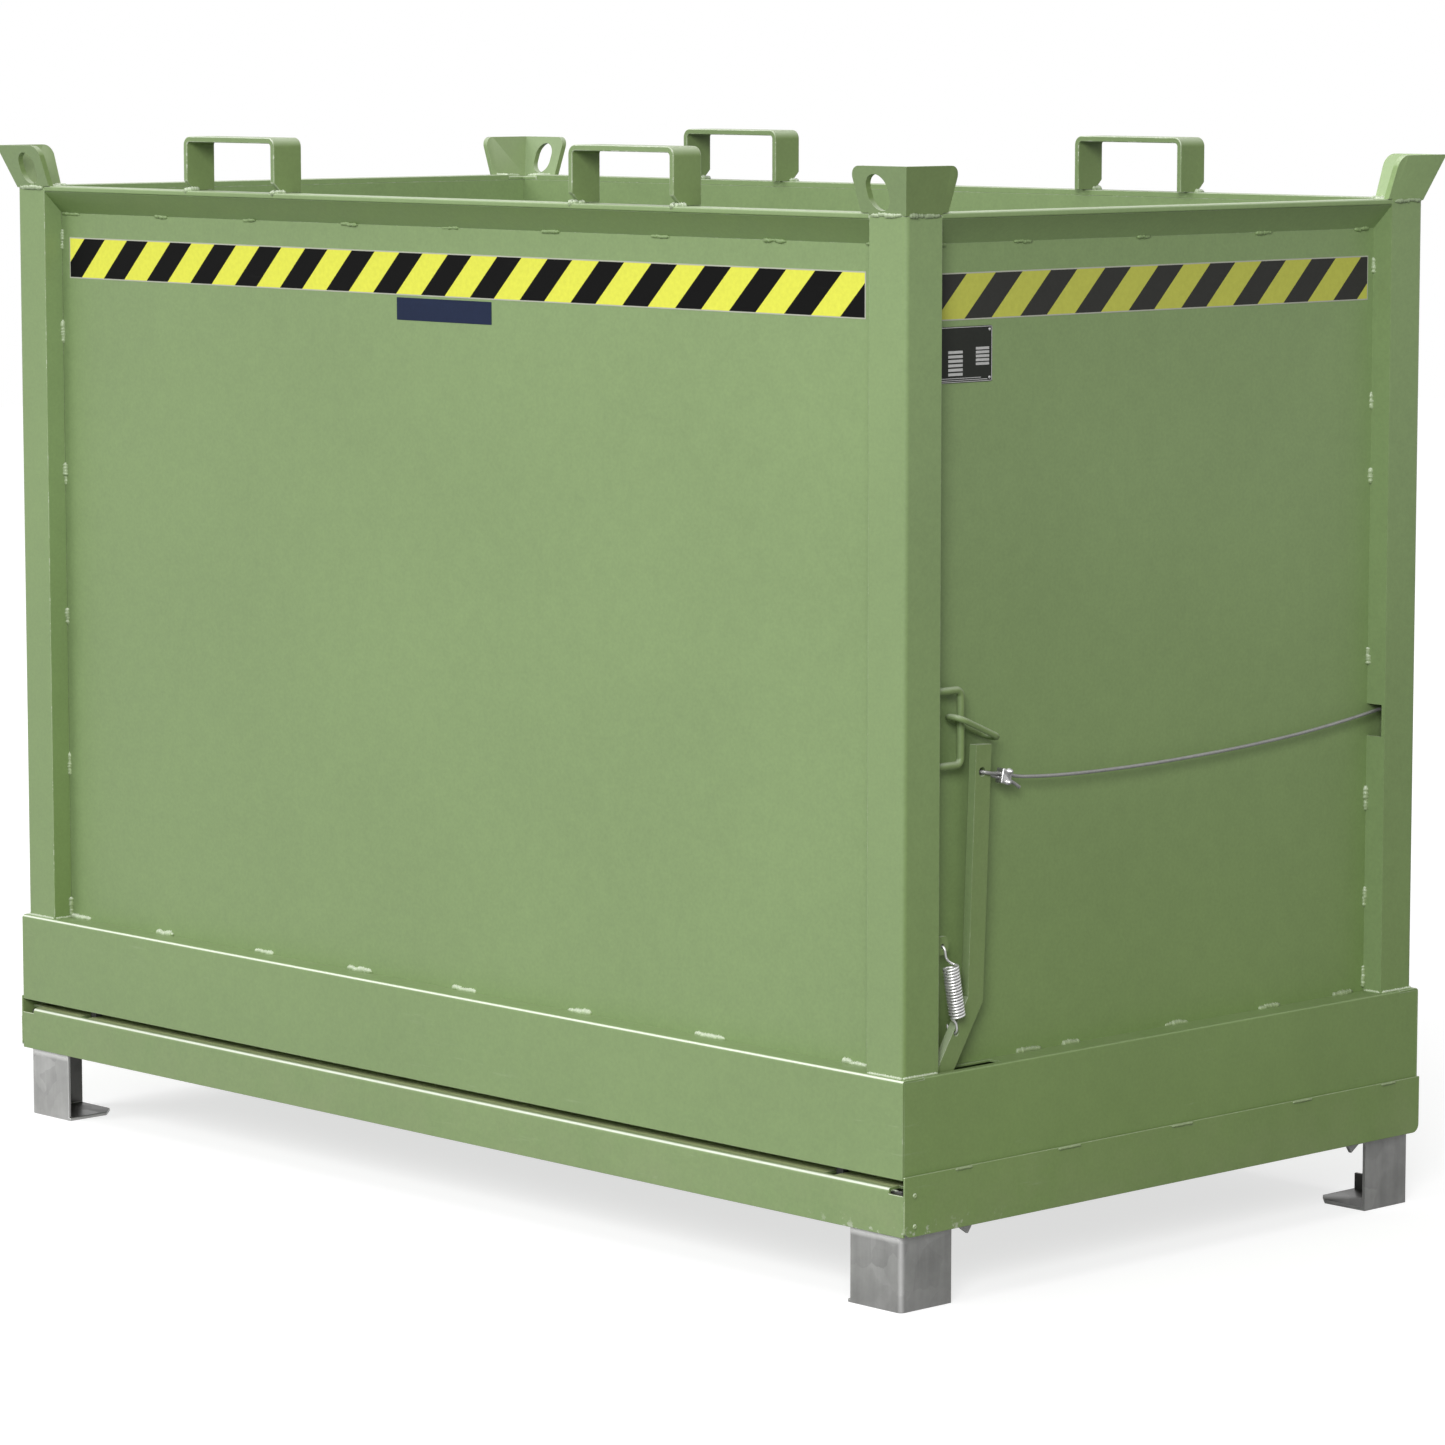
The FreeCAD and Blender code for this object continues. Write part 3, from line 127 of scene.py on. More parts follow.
def ramp(value, low, high, start=0.0, stop=1.0):
    return added("MapRange", {"Value": value, "From Min": low, "From Max": high, "To Min": start,
            "To Max": stop}).outputs[0]


def mixColour(factor, first, second, mode="MIX"):
    node = added("Mix")
    node.data_type = "RGBA"
    node.blend_type = mode
    feed(node, {0: factor, 6: first, 7: second})
    return node.outputs[2]


def cloud(place, scale, detail=2.0, rough=0.5):
    return added("TexNoise", {"Vector": place, "Scale": scale, "Detail": detail,
            "Roughness": rough}).outputs[0]


def objectPlace():
    return added("TexCoord").outputs["Object"]


def vectorCalc(operation, first, second=(0, 0, 0)):
    node = added("VectorMath")
    node.operation = operation
    feed(node, {0: first, 1: second})
    return node.outputs


def stretched(place, factors):
    return vectorCalc("MULTIPLY", place, factors)[0]


def split(place):
    return added("SeparateXYZ", {0: place}).outputs


def facingParts():
    return split(added("NewGeometry").outputs["Normal"])


def grey(level):
    return added("CombineColor", {0: level, 1: level, 2: level}).outputs[0]


def rgba(colour):
    return (colour[0], colour[1], colour[2], 1.0)


def newGroup(name, inputs, outputs):
    # A socket is a colour's where its value or its name is one
    bench["tree"] = tree = bpy.data.node_groups.new(name, "ShaderNodeTree")
    for label, value in inputs.items():
        kind = "NodeSocketColor" if isinstance(value, tuple) else "NodeSocketFloat"
        tree.interface.new_socket(name=label, in_out="INPUT", socket_type=kind).default_value = value
    for label in outputs.split():
        kind = "NodeSocketColor" if label in ("Colour", "Tint") else "NodeSocketFloat"
        tree.interface.new_socket(name=label, in_out="OUTPUT", socket_type=kind)
    start = tree.nodes.new("NodeGroupInput")
    end = tree.nodes.new("NodeGroupOutput")
    return tree, start.outputs, end


def placeGroup(group, values):
    node = added("Group")
    node.node_tree = group
    feed(node, values)
    return node.outputs


# Sprayed coat: slow clouding, a fine grain and orange peel
def makeSprayedCoat():
    tree, given, end = newGroup("Sprayed coat", {"Colour": (0.2, 0.3, 0.15, 1), "Clouding": 0.06,
            "Grain": 0.05, "Roughness": 0.42, "Peel scale": 260.0}, "Colour Roughness Height")
    place = objectPlace()
    slow = ramp(cloud(place, 2.6, 3.0), 0.3, 0.7, -1, 1)
    middle = ramp(cloud(place, 38.0, 3.0, 0.6), 0.3, 0.7, -1, 1)
    fine = ramp(cloud(place, 210.0, 2.0, 0.6), 0.3, 0.7, -1, 1)
    shade = times(slow, given["Clouding"])
    speck = times(plus(fine, times(middle, 0.6)), given["Grain"])
    level = plus(plus(shade, speck), 1.0)
    tinted = mixColour(1.0, given["Colour"], grey(level), "MULTIPLY")
    peel = cloud(place, given["Peel scale"], 1.0)
    uneven = times(plus(middle, slow), 0.035)
    feed(end, {"Colour": tinted, "Roughness": plus(given["Roughness"], uneven), "Height": peel})
    return tree


# Rubbed and lit edge: broken edges are painted pale, partly as wear where they have been knocked and partly as a
# painted highlight, strongest where they face up; small chips come out as a second mask
def makeRubbedAndLitEdge():
    tree, given, end = newGroup("Rubbed and lit edge", {"Edge": 0.0, "Amount": 0.5, "Patch scale": 18.0},
            "Mask Chip")
    place = objectPlace()
    patch = ramp(cloud(place, given["Patch scale"], 4.0, 0.65), 0.35, 0.62)
    # Painted highlight: edges that face up are painted paler, in fuller patches
    upward = ramp(facingParts()[2], 0.1, 0.6, 0.42, 1.0)
    patch = larger(patch, ramp(upward, 0.6, 1.0, 0.0, 0.8))
    strength = times(given["Amount"], upward)
    mask = times(times(given["Edge"], strength), patch, clamp=True)
    small = ramp(cloud(place, 95.0, 3.0, 0.7), 0.56, 0.62)
    chip = times(times(given["Edge"], small), given["Amount"])
    feed(end, {"Mask": mask, "Chip": chip})
    return tree


# Handling scuffs: thin pale strokes along the side, in loose patches, fuller towards the ground
def makeScuffs():
    tree, given, end = newGroup("Handling scuffs", {"Amount": 0.5, "Low": 0.1, "High": 0.5}, "Mask")
    place = objectPlace()
    strokes = cloud(stretched(place, (9.0, 9.0, 120.0)), 1.0, 4.0, 0.75)
    blobs = cloud(place, 4.5, 3.0, 0.6)
    line = times(ramp(strokes, 0.60, 0.70), ramp(blobs, 0.52, 0.66))
    height = ramp(split(place)[2], given["Low"], given["High"], 1.0, 0.12)
    mask = times(times(line, height), given["Amount"], clamp=True)
    feed(end, {"Mask": mask})
    return tree


# Settled dust: on ledges and along the lowest edges
def makeDust():
    tree, given, end = newGroup("Settled dust", {"Amount": 0.3, "Low": 0.0, "High": 0.4}, "Mask")
    place = objectPlace()
    upward = ramp(facingParts()[2], 0.6, 0.95)
    patch = ramp(cloud(place, 14.0, 5.0, 0.6), 0.32, 0.75)
    low = ramp(split(place)[2], given["Low"], given["High"], 1.0, 0.0)
    both = larger(upward, times(low, 0.55))
    mask = times(times(both, patch), given["Amount"], clamp=True)
    feed(end, {"Mask": mask})
    return tree


# Painted bend highlight: the outer bend of a folded sheet is painted pale as a thin line where it would take the
# light, most on the front
def makePaintedBendHighlight():
    tree, given, end = newGroup("Painted bend highlight", {"Amount": 0.0}, "Mask")
    facing = facingParts()
    crown = times(ramp(facing[2], 0.35, 0.55), ramp(facing[2], 0.78, 0.92, 1.0, 0.0))
    frontal = ramp(facing[0], 0.2, 0.5, 1.0, 0.05)
    mask = times(times(crown, frontal), given["Amount"], clamp=True)
    feed(end, {"Mask": mask})
    return tree


# Painted side shade: a painted shade under the flare and low on the right side, a painted light high on it, and a
# painted shade on the right band's ledge
def makePaintedSideShade():
    tree, given, end = newGroup("Painted side shade", {"Low right painted shade": (1, 1, 1, 1), "High right painted light": (1, 1, 1, 1),
            "Under flare painted shade": (1, 1, 1, 1), "Right ledge painted shade": (1, 1, 1, 1)}, "Tint")
    facing = facingParts()
    parts = split(objectPlace())
    side = mixColour(ramp(parts[2], 0.20, 1.05), given["Low right painted shade"], given["High right painted light"])
    tint = mixColour(ramp(facing[0], 0.5, 0.9), (1, 1, 1, 1), side)
    # Painted shade on faces that lean out and down under the flare
    under = larger(ramp(facing[1], -0.7, -0.3, 1.0, 0.0), ramp(facing[0], 0.3, 0.7, 0.0, 0.25))
    under = times(under, ramp(facing[2], -0.5, -0.15, 1.0, 0.0))
    under = times(under, below(parts[2], 1.386))
    tint = mixColour(under, tint, given["Under flare painted shade"])
    # Painted shade on the up-facing ledge of the right band
    step = times(above(parts[0], 0.886), below(parts[2], 0.31))
    step = times(step, ramp(facing[2], 0.5, 0.9))
    feed(end, {"Tint": mixColour(step, tint, given["Right ledge painted shade"])})
    return tree


# Zinc bloom: the crystal patches and dull clouds of a zinc layer
def makeZincBloom():
    tree, given, end = newGroup("Zinc bloom", {"Scale": 90.0, "Contrast": 0.3, "Roughness": 0.4,
            "Streaks": 0.0}, "Tone Roughness Height")
    place = objectPlace()
    warp = added("TexNoise", {"Vector": place, "Scale": 60.0, "Detail": 2.0})
    bent = vectorCalc("ADD", place, stretched(warp.outputs["Color"], (0.012, 0.012, 0.012)))[0]
    cells = added("TexVoronoi", {"Vector": bent, "Scale": given["Scale"]})
    parts = added("SeparateColor", {0: cells.outputs["Color"]})
    soft = ramp(cloud(place, 22.0, 4.0, 0.6), 0.3, 0.7)
    crystal = plus(times(parts.outputs[0], 0.45), times(soft, 0.55))
    runs = ramp(cloud(stretched(place, (75.0, 75.0, 5.0)), 1.0, 3.0, 0.6), 0.3, 0.7, -0.5, 0.5)
    tone = plus(times(minus(crystal, 0.5), given["Contrast"]), 0.5)
    tone = plus(tone, times(runs, given["Streaks"]))
    rough = plus(given["Roughness"], times(parts.outputs[1], 0.14))
    feed(end, {"Tone": tone, "Roughness": rough, "Height": cloud(place, 420.0, 2.0)})
    return tree


sprayedCoat = makeSprayedCoat()
rubbedAndLitEdge = makeRubbedAndLitEdge()
handlingScuffs = makeScuffs()
settledDust = makeDust()
paintedBendHighlight = makePaintedBendHighlight()
paintedSideShade = makePaintedSideShade()
zincBloom = makeZincBloom()


def newMaterial(name):
    material = bpy.data.materials.new(name)
    material.use_nodes = True
    bench["tree"] = material.node_tree
    return material, material.node_tree.nodes["Principled BSDF"]


def addBump(shader, height, strength, distance):
    bump = added("Bump", {"Height": height, "Strength": strength, "Distance": distance})
    feed(shader, {"Normal": bump.outputs[0]})


def meshMark(name):
    node = added("Attribute")
    node.attribute_name = name
    return node.outputs["Fac"]


# Green paint, one finish for each kind of part
paintLook = {
    "base": (0.203, 0.286, 0.125),
    "rubbedAndLit": (0.56, 0.62, 0.49),
    "bead": (0.315, 0.395, 0.235),
    "bare": (0.56, 0.60, 0.50),
    "scuffed": (0.42, 0.48, 0.36),
    "dust": (0.36, 0.34, 0.24),
    "bent": (0.74, 0.79, 0.67),
    "ledgePaintedLight": (0.66, 0.76, 0.36),
    "ledge": {"height": 0.170, "front": (-0.503, -0.492), "back": (-0.44, -0.43)},
    "chipBand": (0.100, 0.120),
    "chipCorner": (0.935, -0.507, 0.100),
    "lowRightPaintedShade": (0.87, 0.91, 0.70),
    "highRightPaintedLight": (1.08, 1.08, 1.07),
    "fittingRightPaintedShade": (0.95, 0.96, 0.82),
    "underFlarePaintedShade": (0.76, 0.82, 0.64),
    "rightLedgePaintedShade": (0.82, 0.84, 0.74),
}


def makePaint(name, clouding=0.035, grain=0.035, rough=0.42, edge=0.5, scuff=0.4, dust=0.2, low=0.05,
        high=0.45, shade=1.0, colourName="base", paintedSheen=0.35, chips=0.0, bendGlint=0.0, ledge=0.0,
        highRightPaintedLight="highRightPaintedLight"):
    material, shader = newMaterial(name)
    base = rgba([channel * shade for channel in paintLook[colourName]])
    coat = placeGroup(sprayedCoat, {"Colour": base, "Clouding": clouding, "Grain": grain,
            "Roughness": rough})
    wearAndHighlight = placeGroup(rubbedAndLitEdge, {"Edge": meshMark("edgeMark"), "Amount": edge})
    marks = placeGroup(handlingScuffs, {"Amount": scuff, "Low": low, "High": high})
    film = placeGroup(settledDust, {"Amount": dust, "Low": 0.0, "High": high})
    facingUp = facingParts()[2]
    sideShade = placeGroup(paintedSideShade, {"Low right painted shade": rgba(paintLook["lowRightPaintedShade"]),
            "High right painted light": rgba(paintLook[highRightPaintedLight]), "Under flare painted shade": rgba(paintLook["underFlarePaintedShade"]),
            "Right ledge painted shade": rgba(paintLook["rightLedgePaintedShade"])})
    # Painted light and shade by side are multiplied into the coat's colour
    colour = mixColour(1.0, coat["Colour"], sideShade["Tint"], "MULTIPLY")
    # Painted sheen: faces turned up are painted towards the pale edge colour
    colour = mixColour(ramp(facingUp, 0.12, 0.75, 0.0, paintedSheen), colour, rgba(paintLook["rubbedAndLit"]))
    # Broken edges painted pale, as wear and as a painted highlight
    colour = mixColour(wearAndHighlight["Mask"], colour, rgba(paintLook["rubbedAndLit"]))
    place = objectPlace()
    parts = split(place)
    reach = vectorCalc("DISTANCE", place, paintLook["chipCorner"])["Value"]
    spots = ramp(cloud(place, 42.0, 4.0, 0.7), 0.60, 0.64)
    spots = times(spots, ramp(reach, 0.05, 0.22, 1.0, 0.0))
    band = ramp(parts[2], *paintLook["chipBand"], chips, 0.0)
    chipped = larger(times(wearAndHighlight["Chip"], 0.8), times(spots, band))
    colour = mixColour(chipped, colour, rgba(paintLook["bare"]))
    colour = mixColour(times(marks["Mask"], 0.6), colour, rgba(paintLook["scuffed"]))
    colour = mixColour(film["Mask"], colour, rgba(paintLook["dust"]))
    # Painted highlight on the outer bends of the folded sheets
    if bendGlint > 0:
        line = placeGroup(paintedBendHighlight, {"Amount": bendGlint})
        colour = mixColour(line["Mask"], colour, rgba(paintLook["bent"]))
    if ledge > 0:
        # Painted light: the flap's front ledge behind the band, which lies in the band's shadow, is painted pale
        # olive
        ledgeLook = paintLook["ledge"]
        strip = times(ramp(parts[1], *ledgeLook["front"]), ramp(parts[1], *ledgeLook["back"], 1.0, 0.0))
        flat = times(ramp(facingUp, 0.9, 0.99, 0.0, ledge), below(parts[2], ledgeLook["height"]))
        colour = mixColour(times(strip, flat), colour, rgba(paintLook["ledgePaintedLight"]))
    rougher = plus(coat["Roughness"], times(film["Mask"], 0.4))
    rougher = plus(rougher, times(marks["Mask"], 0.12), clamp=True)
    feed(shader, {"Base Color": colour, "Roughness": rougher, "Specular IOR Level": 0.30})
    addBump(shader, coat["Height"], 0.10, 0.0006)
    return material


fitted = {"clouding": 0.04, "grain": 0.04, "edge": 0.85, "scuff": 0.5, "high": 1.6, "rough": 0.38}
welded = {"clouding": 0.12, "grain": 0.08, "edge": 0.0, "scuff": 0.0, "dust": 0.05, "rough": 0.28,
        "colourName": "bead"}
panelPaint = makePaint("panelPaint", clouding=0.03, grain=0.045, rough=0.44, scuff=0.12, dust=0.12)
postPaint = makePaint("postPaint", clouding=0.04, grain=0.04, edge=0.55, scuff=0.25)
basePaint = makePaint("basePaint", clouding=0.045, grain=0.04, edge=0.4, scuff=0.8, dust=0.10, high=0.35,
        paintedSheen=0.0, bendGlint=0.95)
flapPaint = makePaint("flapPaint", clouding=0.05, grain=0.045, edge=0.2, scuff=0.9, dust=0.4, high=0.3,
        rough=0.46, paintedSheen=0.05, chips=0.8, bendGlint=0.95, ledge=0.85)
fittingPaint = makePaint("fittingPaint", **fitted, shade=0.90, highRightPaintedLight="fittingRightPaintedShade")
flareBeadPaint = makePaint("flareBeadPaint", clouding=0.08, grain=0.04, edge=0.0, scuff=0.0, dust=0.05,
        rough=0.34, paintedSheen=0.08)
lugPaint = makePaint("lugPaint", **fitted, shade=0.92, highRightPaintedLight="fittingRightPaintedShade")
# The back right lug is painted lighter, a painted light on its face that leans outward and down
paintedLightLugPaint = makePaint("paintedLightLugPaint", **{**fitted, "clouding": 0.06, "scuff": 0.6, "rough": 0.36},
        shade=1.32)
# Weld beads carry a strong painted sheen on their tops; the dull ones are darker and carry less of it
beadPaint = makePaint("beadPaint", **welded, paintedSheen=0.8)
dullBeadPaint = makePaint("dullBeadPaint", **{**welded, "rough": 0.36}, shade=0.80, paintedSheen=0.15)
print("hopper: paints made")


# Metals: dull zinc on the feet and shaft, bright zinc on the small parts, drawn wire in the rope
metalLook = {
    "rubbedAndLit": (0.8, 0.8, 0.79),
    "dust": (0.30, 0.29, 0.26),
    "recessShade": (0.07, 0.07, 0.065),
}


def makeSteel(name, light, dark, scale, contrast, rough, metal, bump, streaks=0.0, isFoot=False):
    material, shader = newMaterial(name)
    bloom = placeGroup(zincBloom, {"Scale": scale, "Contrast": contrast, "Roughness": rough,
            "Streaks": streaks})
    wearAndHighlight = placeGroup(rubbedAndLitEdge, {"Edge": meshMark("edgeMark"), "Amount": 0.6, "Patch scale": 40.0})
    film = placeGroup(settledDust, {"Amount": 0.25, "Low": 0.0, "High": 0.09})
    colour = mixColour(bloom["Tone"], rgba(dark), rgba(light))
    # Broken edges of the metals painted pale, as wear and as a painted highlight
    colour = mixColour(times(wearAndHighlight["Mask"], 0.6), colour, rgba(metalLook["rubbedAndLit"]))
    colour = mixColour(film["Mask"], colour, rgba(metalLook["dust"]))
    if isFoot:
        # Painted highlight on the upright bend and painted reflection under the lip; painted shade inside the
        # foot and behind the lips
        facing = facingParts()
        height = split(objectPlace())[2]
        bendGlint = times(ramp(calc("ABSOLUTE", facing[0]), 0.15, 0.60),
                ramp(calc("ABSOLUTE", facing[1]), 0.15, 0.60, 0.0, 0.30))
        lipReflection = times(ramp(height, 0.089, 0.098), ramp(facing[1], -0.9, -0.5, 1.0, 0.0))
        paintedGlint = times(larger(bendGlint, lipReflection), below(height, 0.101))
        colour = mixColour(paintedGlint, colour, rgba(metalLook["rubbedAndLit"]))
        # Painted shade in the foot's hollows and behind the lips
        recessShade = larger(meshMark("insideMark"), ramp(height, 0.101, 0.104))
        colour = mixColour(times(recessShade, 0.88), colour, rgba(metalLook["recessShade"]))
        metal = minus(metal, times(paintedGlint, 0.6))
    feed(shader, {"Base Color": colour, "Roughness": bloom["Roughness"], "Metallic": metal,
            "Specular IOR Level": 0.35})
    addBump(shader, bloom["Height"], bump, 0.0004)
    return material


footZinc = makeSteel("footZinc", (0.46, 0.46, 0.45), (0.24, 0.24, 0.235), 26.0, 0.7, 0.33, 0.8, 0.10, 0.25,
        True)
# The hooks' zinc is very dark, a painted shade for where they sit inside the base, seen only through the gaps
hookZinc = makeSteel("hookZinc", (0.17, 0.17, 0.165), (0.09, 0.09, 0.088), 60.0, 0.6, 0.46, 0.6, 0.10, 0.20)
brightZinc = makeSteel("brightZinc", (0.62, 0.62, 0.61), (0.42, 0.42, 0.42), 260.0, 0.6, 0.24, 0.9, 0.1)
drawnWire = makeSteel("drawnWire", (0.40, 0.40, 0.39), (0.24, 0.24, 0.235), 400.0, 0.8, 0.36, 0.7, 0.1)
springWire = makeSteel("springWire", (0.82, 0.82, 0.81), (0.70, 0.70, 0.70), 60.0, 0.2, 0.26, 0.75, 0.0)
print("hopper: metals made")


# Hazard tape: slanted black and yellow bands with a pale foil border
tapeLook = {
    "yellow": (0.69, 0.70, 0.088),
    # The right tape's inks: a darker yellow, and a black lifted as a painted reflection of grazing light
    "rightSideYellow": (0.50, 0.515, 0.096),
    "black": (0.006, 0.006, 0.006),
    "rightSideBlack": (0.042, 0.042, 0.039),
    "border": (0.42, 0.43, 0.36),
    "pitch": 0.1021,
    "blackShare": 0.485,
    "borderWide": 0.0017,
    "softness": 0.004,
    "worn": (0.35, 0.36, 0.3),
}


def makeTape(name, axis, ends, low, high, firstBlack, level, inks):
    material, shader = newMaterial(name)
    place = objectPlace()
    parts = split(place)
    along = parts[axis]
    run = minus(minus(along, firstBlack), minus(parts[2], level))
    phase = calc("FRACT", calc("DIVIDE", plus(run, 40 * tapeLook["pitch"]), tapeLook["pitch"]))
    soft = tapeLook["softness"]
    black = times(ramp(phase, 0.0, soft), ramp(phase, tapeLook["blackShare"], tapeLook["blackShare"] + soft,
            1, 0))
    grain = ramp(cloud(place, 160.0, 3.0, 0.6), 0.3, 0.7, 0.94, 1.03)
    colour = mixColour(black, rgba(tapeLook[inks[0]]), rgba(tapeLook[inks[1]]))
    colour = mixColour(1.0, colour, grey(grain), "MULTIPLY")
    centre = (ends[0] + ends[1]) / 2
    half = (ends[1] - ends[0]) / 2 - tapeLook["borderWide"]
    sideways = above(calc("ABSOLUTE", minus(along, centre)), half)
    middle = (low + high) / 2
    tall = (high - low) / 2 - tapeLook["borderWide"]
    upright = above(calc("ABSOLUTE", minus(parts[2], middle)), tall)
    colour = mixColour(larger(sideways, upright), colour, rgba(tapeLook["border"]))
    wear = placeGroup(handlingScuffs, {"Amount": 0.4, "Low": 0.0, "High": 2.0})
    colour = mixColour(times(wear["Mask"], 0.25), colour, rgba(tapeLook["worn"]))
    rough = plus(0.45, times(wear["Mask"], 0.3))
    feed(shader, {"Base Color": colour, "Roughness": rough, "Specular IOR Level": 0.03})
    addBump(shader, cloud(place, 90.0, 2.0), 0.08, 0.0004)
    return material


# Flat inks and foils of the bare label and the blank plate
def makeInk(name, colour, rough, metal=0.0):
    material, shader = newMaterial(name)
    coat = placeGroup(sprayedCoat, {"Colour": rgba(colour), "Clouding": 0.05, "Grain": 0.05,
            "Roughness": rough, "Peel scale": 500.0})
    wear = placeGroup(handlingScuffs, {"Amount": 0.5, "Low": 0.0, "High": 2.0})
    tint = mixColour(times(wear["Mask"], 0.15), coat["Colour"], (0.3, 0.3, 0.3, 1))
    feed(shader, {"Base Color": tint, "Roughness": coat["Roughness"], "Metallic": metal,
            "Specular IOR Level": 0.10})
    addBump(shader, coat["Height"], 0.05, 0.0003)
    return material


labelInk = makeInk("labelInk", (0.010, 0.017, 0.044), 0.34)
plateBlack = makeInk("plateBlack", (0.024, 0.026, 0.022), 0.32)
plateSilver = makeInk("plateSilver", (0.52, 0.52, 0.51), 0.35, 0.6)


# Dressing of the CAD sheets: broken edges as on folded and cut steel, marked for the paint
def family(stem, ends):
    return [stem + "_" + end for end in ends.split()]


sides = "front back left right"
corners = "front_left front_right back_left back_right"
row = "left middle right"
dressPlan = {
    "wall": (family("wall", sides), 0.00023, "container", panelPaint),
    "rim": (family("rim_bar", sides), 0.0008, "container", postPaint),
    "post": (family("post", corners), 0.0010, "container", postPaint),
    "band": (family("band", sides), 0.0010, "container", basePaint),
    "lug": (family("lug", "front_left front_right back_left"), 0.0015, "container", lugPaint),
    "paintedLightLug": (["lug_back_right"], 0.0015, "container", paintedLightLugPaint),
    "loop": (family("loop", corners), 0.0014, "container", fittingPaint),
    "latchPlate": (["spring_tab"] + family("shaft_bearing", row) + family("hinge_ears", row), 0.0007, "container",
                   fittingPaint),
    "flapPlate": (["flap_floor"] + family("flap_lip", sides), 0.0008, "bottom_flap", flapPaint),
    "flapBar": (["flap_frame"] + family("hinge_tongue", row), 0.0010, "bottom_flap", flapPaint),
    "foot": (family("foot", corners), 0.0012, "bottom_flap", footZinc),
    "lever": (["lever"], 0.0013, "latch", fittingPaint),
    "hook": (family("hook", "left right"), 0.0010, "latch", hookZinc),
}
edgeLook = {
    "sharp": radians(27),
    "turned": radians(32),
    "swept": radians(60),
    "flat": radians(0.6),
    "merge": 0.00002,
    "folded": 2.6,
    "noArea": 1e-12,
    "shares": (1.0, 0.7, 0.45, 0.3, 0.2),
}


def placed(name, data):
    obj = bpy.data.objects.new(name, data)
    scene.collection.objects.link(obj)
    return obj


def bevelled(nodeName, wide, merged, material):
    mesh = nodes[nodeName].data.copy()
    mesh.materials.clear()
    build = bmesh.new()
    build.from_mesh(mesh)
    bmesh.ops.remove_doubles(build, verts=build.verts, dist=edgeLook["merge"])
    if merged:
        bmesh.ops.dissolve_limit(build, angle_limit=edgeLook["flat"], verts=build.verts, edges=build.edges)
    for face in build.faces:
        face.smooth = True
        face.material_index = 0
    build.to_mesh(mesh)
    build.free()
    mesh.set_sharp_from_angle(angle=edgeLook["sharp"])
    mesh.materials.append(material)
    mesh.materials.append(material)
    trial = placed("trial", mesh)
    bevel = trial.modifiers.new("brokenEdges", "BEVEL")
    bevel.width = wide
    bevel.segments = 2
    bevel.limit_method = "ANGLE"
    bevel.angle_limit = edgeLook["sharp"]
    bevel.harden_normals = True
    bevel.use_clamp_overlap = True
    bevel.material = 1
    # The modifier is applied, so that the piece is a plain mesh
    result = bpy.data.meshes.new_from_object(trial.evaluated_get(bpy.context.evaluated_depsgraph_get()))
    bpy.data.objects.remove(trial)
    return result


def foldCount(mesh):
    # Faces that lie back on their neighbour, and faces without area
    build = bmesh.new()
    build.from_mesh(mesh)
    bmesh.ops.triangulate(build, faces=build.faces[:])
    count = sum(1 for rim in build.edges if rim.calc_face_angle(0.0) > edgeLook["folded"])
    count += sum(1 for face in build.faces if face.calc_area() < edgeLook["noArea"])
    build.free()
    return count


def broken(nodeName, wide, body, material):
    # The widest broken edge that leaves a clean mesh is kept
    choices = []
    for share, merged in [(share, merged) for share in edgeLook["shares"] for merged in (True, False)]:
        mesh = bevelled(nodeName, wide * share, merged, material)
        choices.append((foldCount(mesh), len(choices), mesh))
        if choices[-1][0] == 0:
            break
    folds, _, mesh = min(choices)
    if folds:
        print("hopper: folds left in", nodeName, folds)
    mesh.name = nodeName + "_dressed"
    piece = placed(nodeName + "_dressed", mesh)
    marks = mesh.attributes.new("edgeMark", "FLOAT", "CORNER")
    for face in mesh.polygons:
        value = 1.0 if face.material_index == 1 else 0.0
        for corner in face.loop_indices:
            marks.data[corner].value = value
        face.material_index = 0
    mesh.materials.pop(index=1)
    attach(piece, body)
    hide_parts(nodeName)
    return piece


def markInside(piece, nodeName):
    # The faces of a foot that look at its middle, and its sole's top, are marked for painted shade
    low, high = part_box(nodeName)
    sideX = 1 if low.x + high.x > 0 else -1
    sideY = 1 if low.y + high.y > 0 else -1
    marks = piece.data.attributes.new("insideMark", "FLOAT", "CORNER")
    for face in piece.data.polygons:
        inward = max(-face.normal.x * sideX, -face.normal.y * sideY) > 0.7 and face.area > 0.0006
        value = 1.0 if inward or face.normal.z > 0.7 else 0.0
        for corner in face.loop_indices:
            marks.data[corner].value = value


for nodeNames, wide, body, material in dressPlan.values():
    for nodeName in nodeNames:
        dressed = broken(nodeName, wide, body, material)
        if material is footZinc:
            markInside(dressed, nodeName)
print("hopper: sheets and plates dressed")


def keepPiece(name, build, body, material, smooth=True):
    mesh = bpy.data.meshes.new(name)
    build.to_mesh(mesh)
    build.free()
    if smooth:
        mesh.shade_smooth()
    mesh.materials.append(material)
    piece = placed(name, mesh)
    if body:
        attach(piece, body)
    return piece


# Round bars and turned parts keep the CAD's mesh, with their finish
def finishNode(nodeName, material):
    mesh = nodes[nodeName].data
    mesh.materials.clear()
    mesh.materials.append(material)
    mesh.shade_smooth()
    mesh.set_sharp_from_angle(angle=edgeLook["turned"])


for nodeName in ("staple", "safety_ring"):
    finishNode(nodeName, fittingPaint)
for nodeName in ("pull_ring", "roller_pin", "rope_roller", "hinge_pins"):
    finishNode(nodeName, brightZinc)
finishNode("latch_shaft", footZinc)


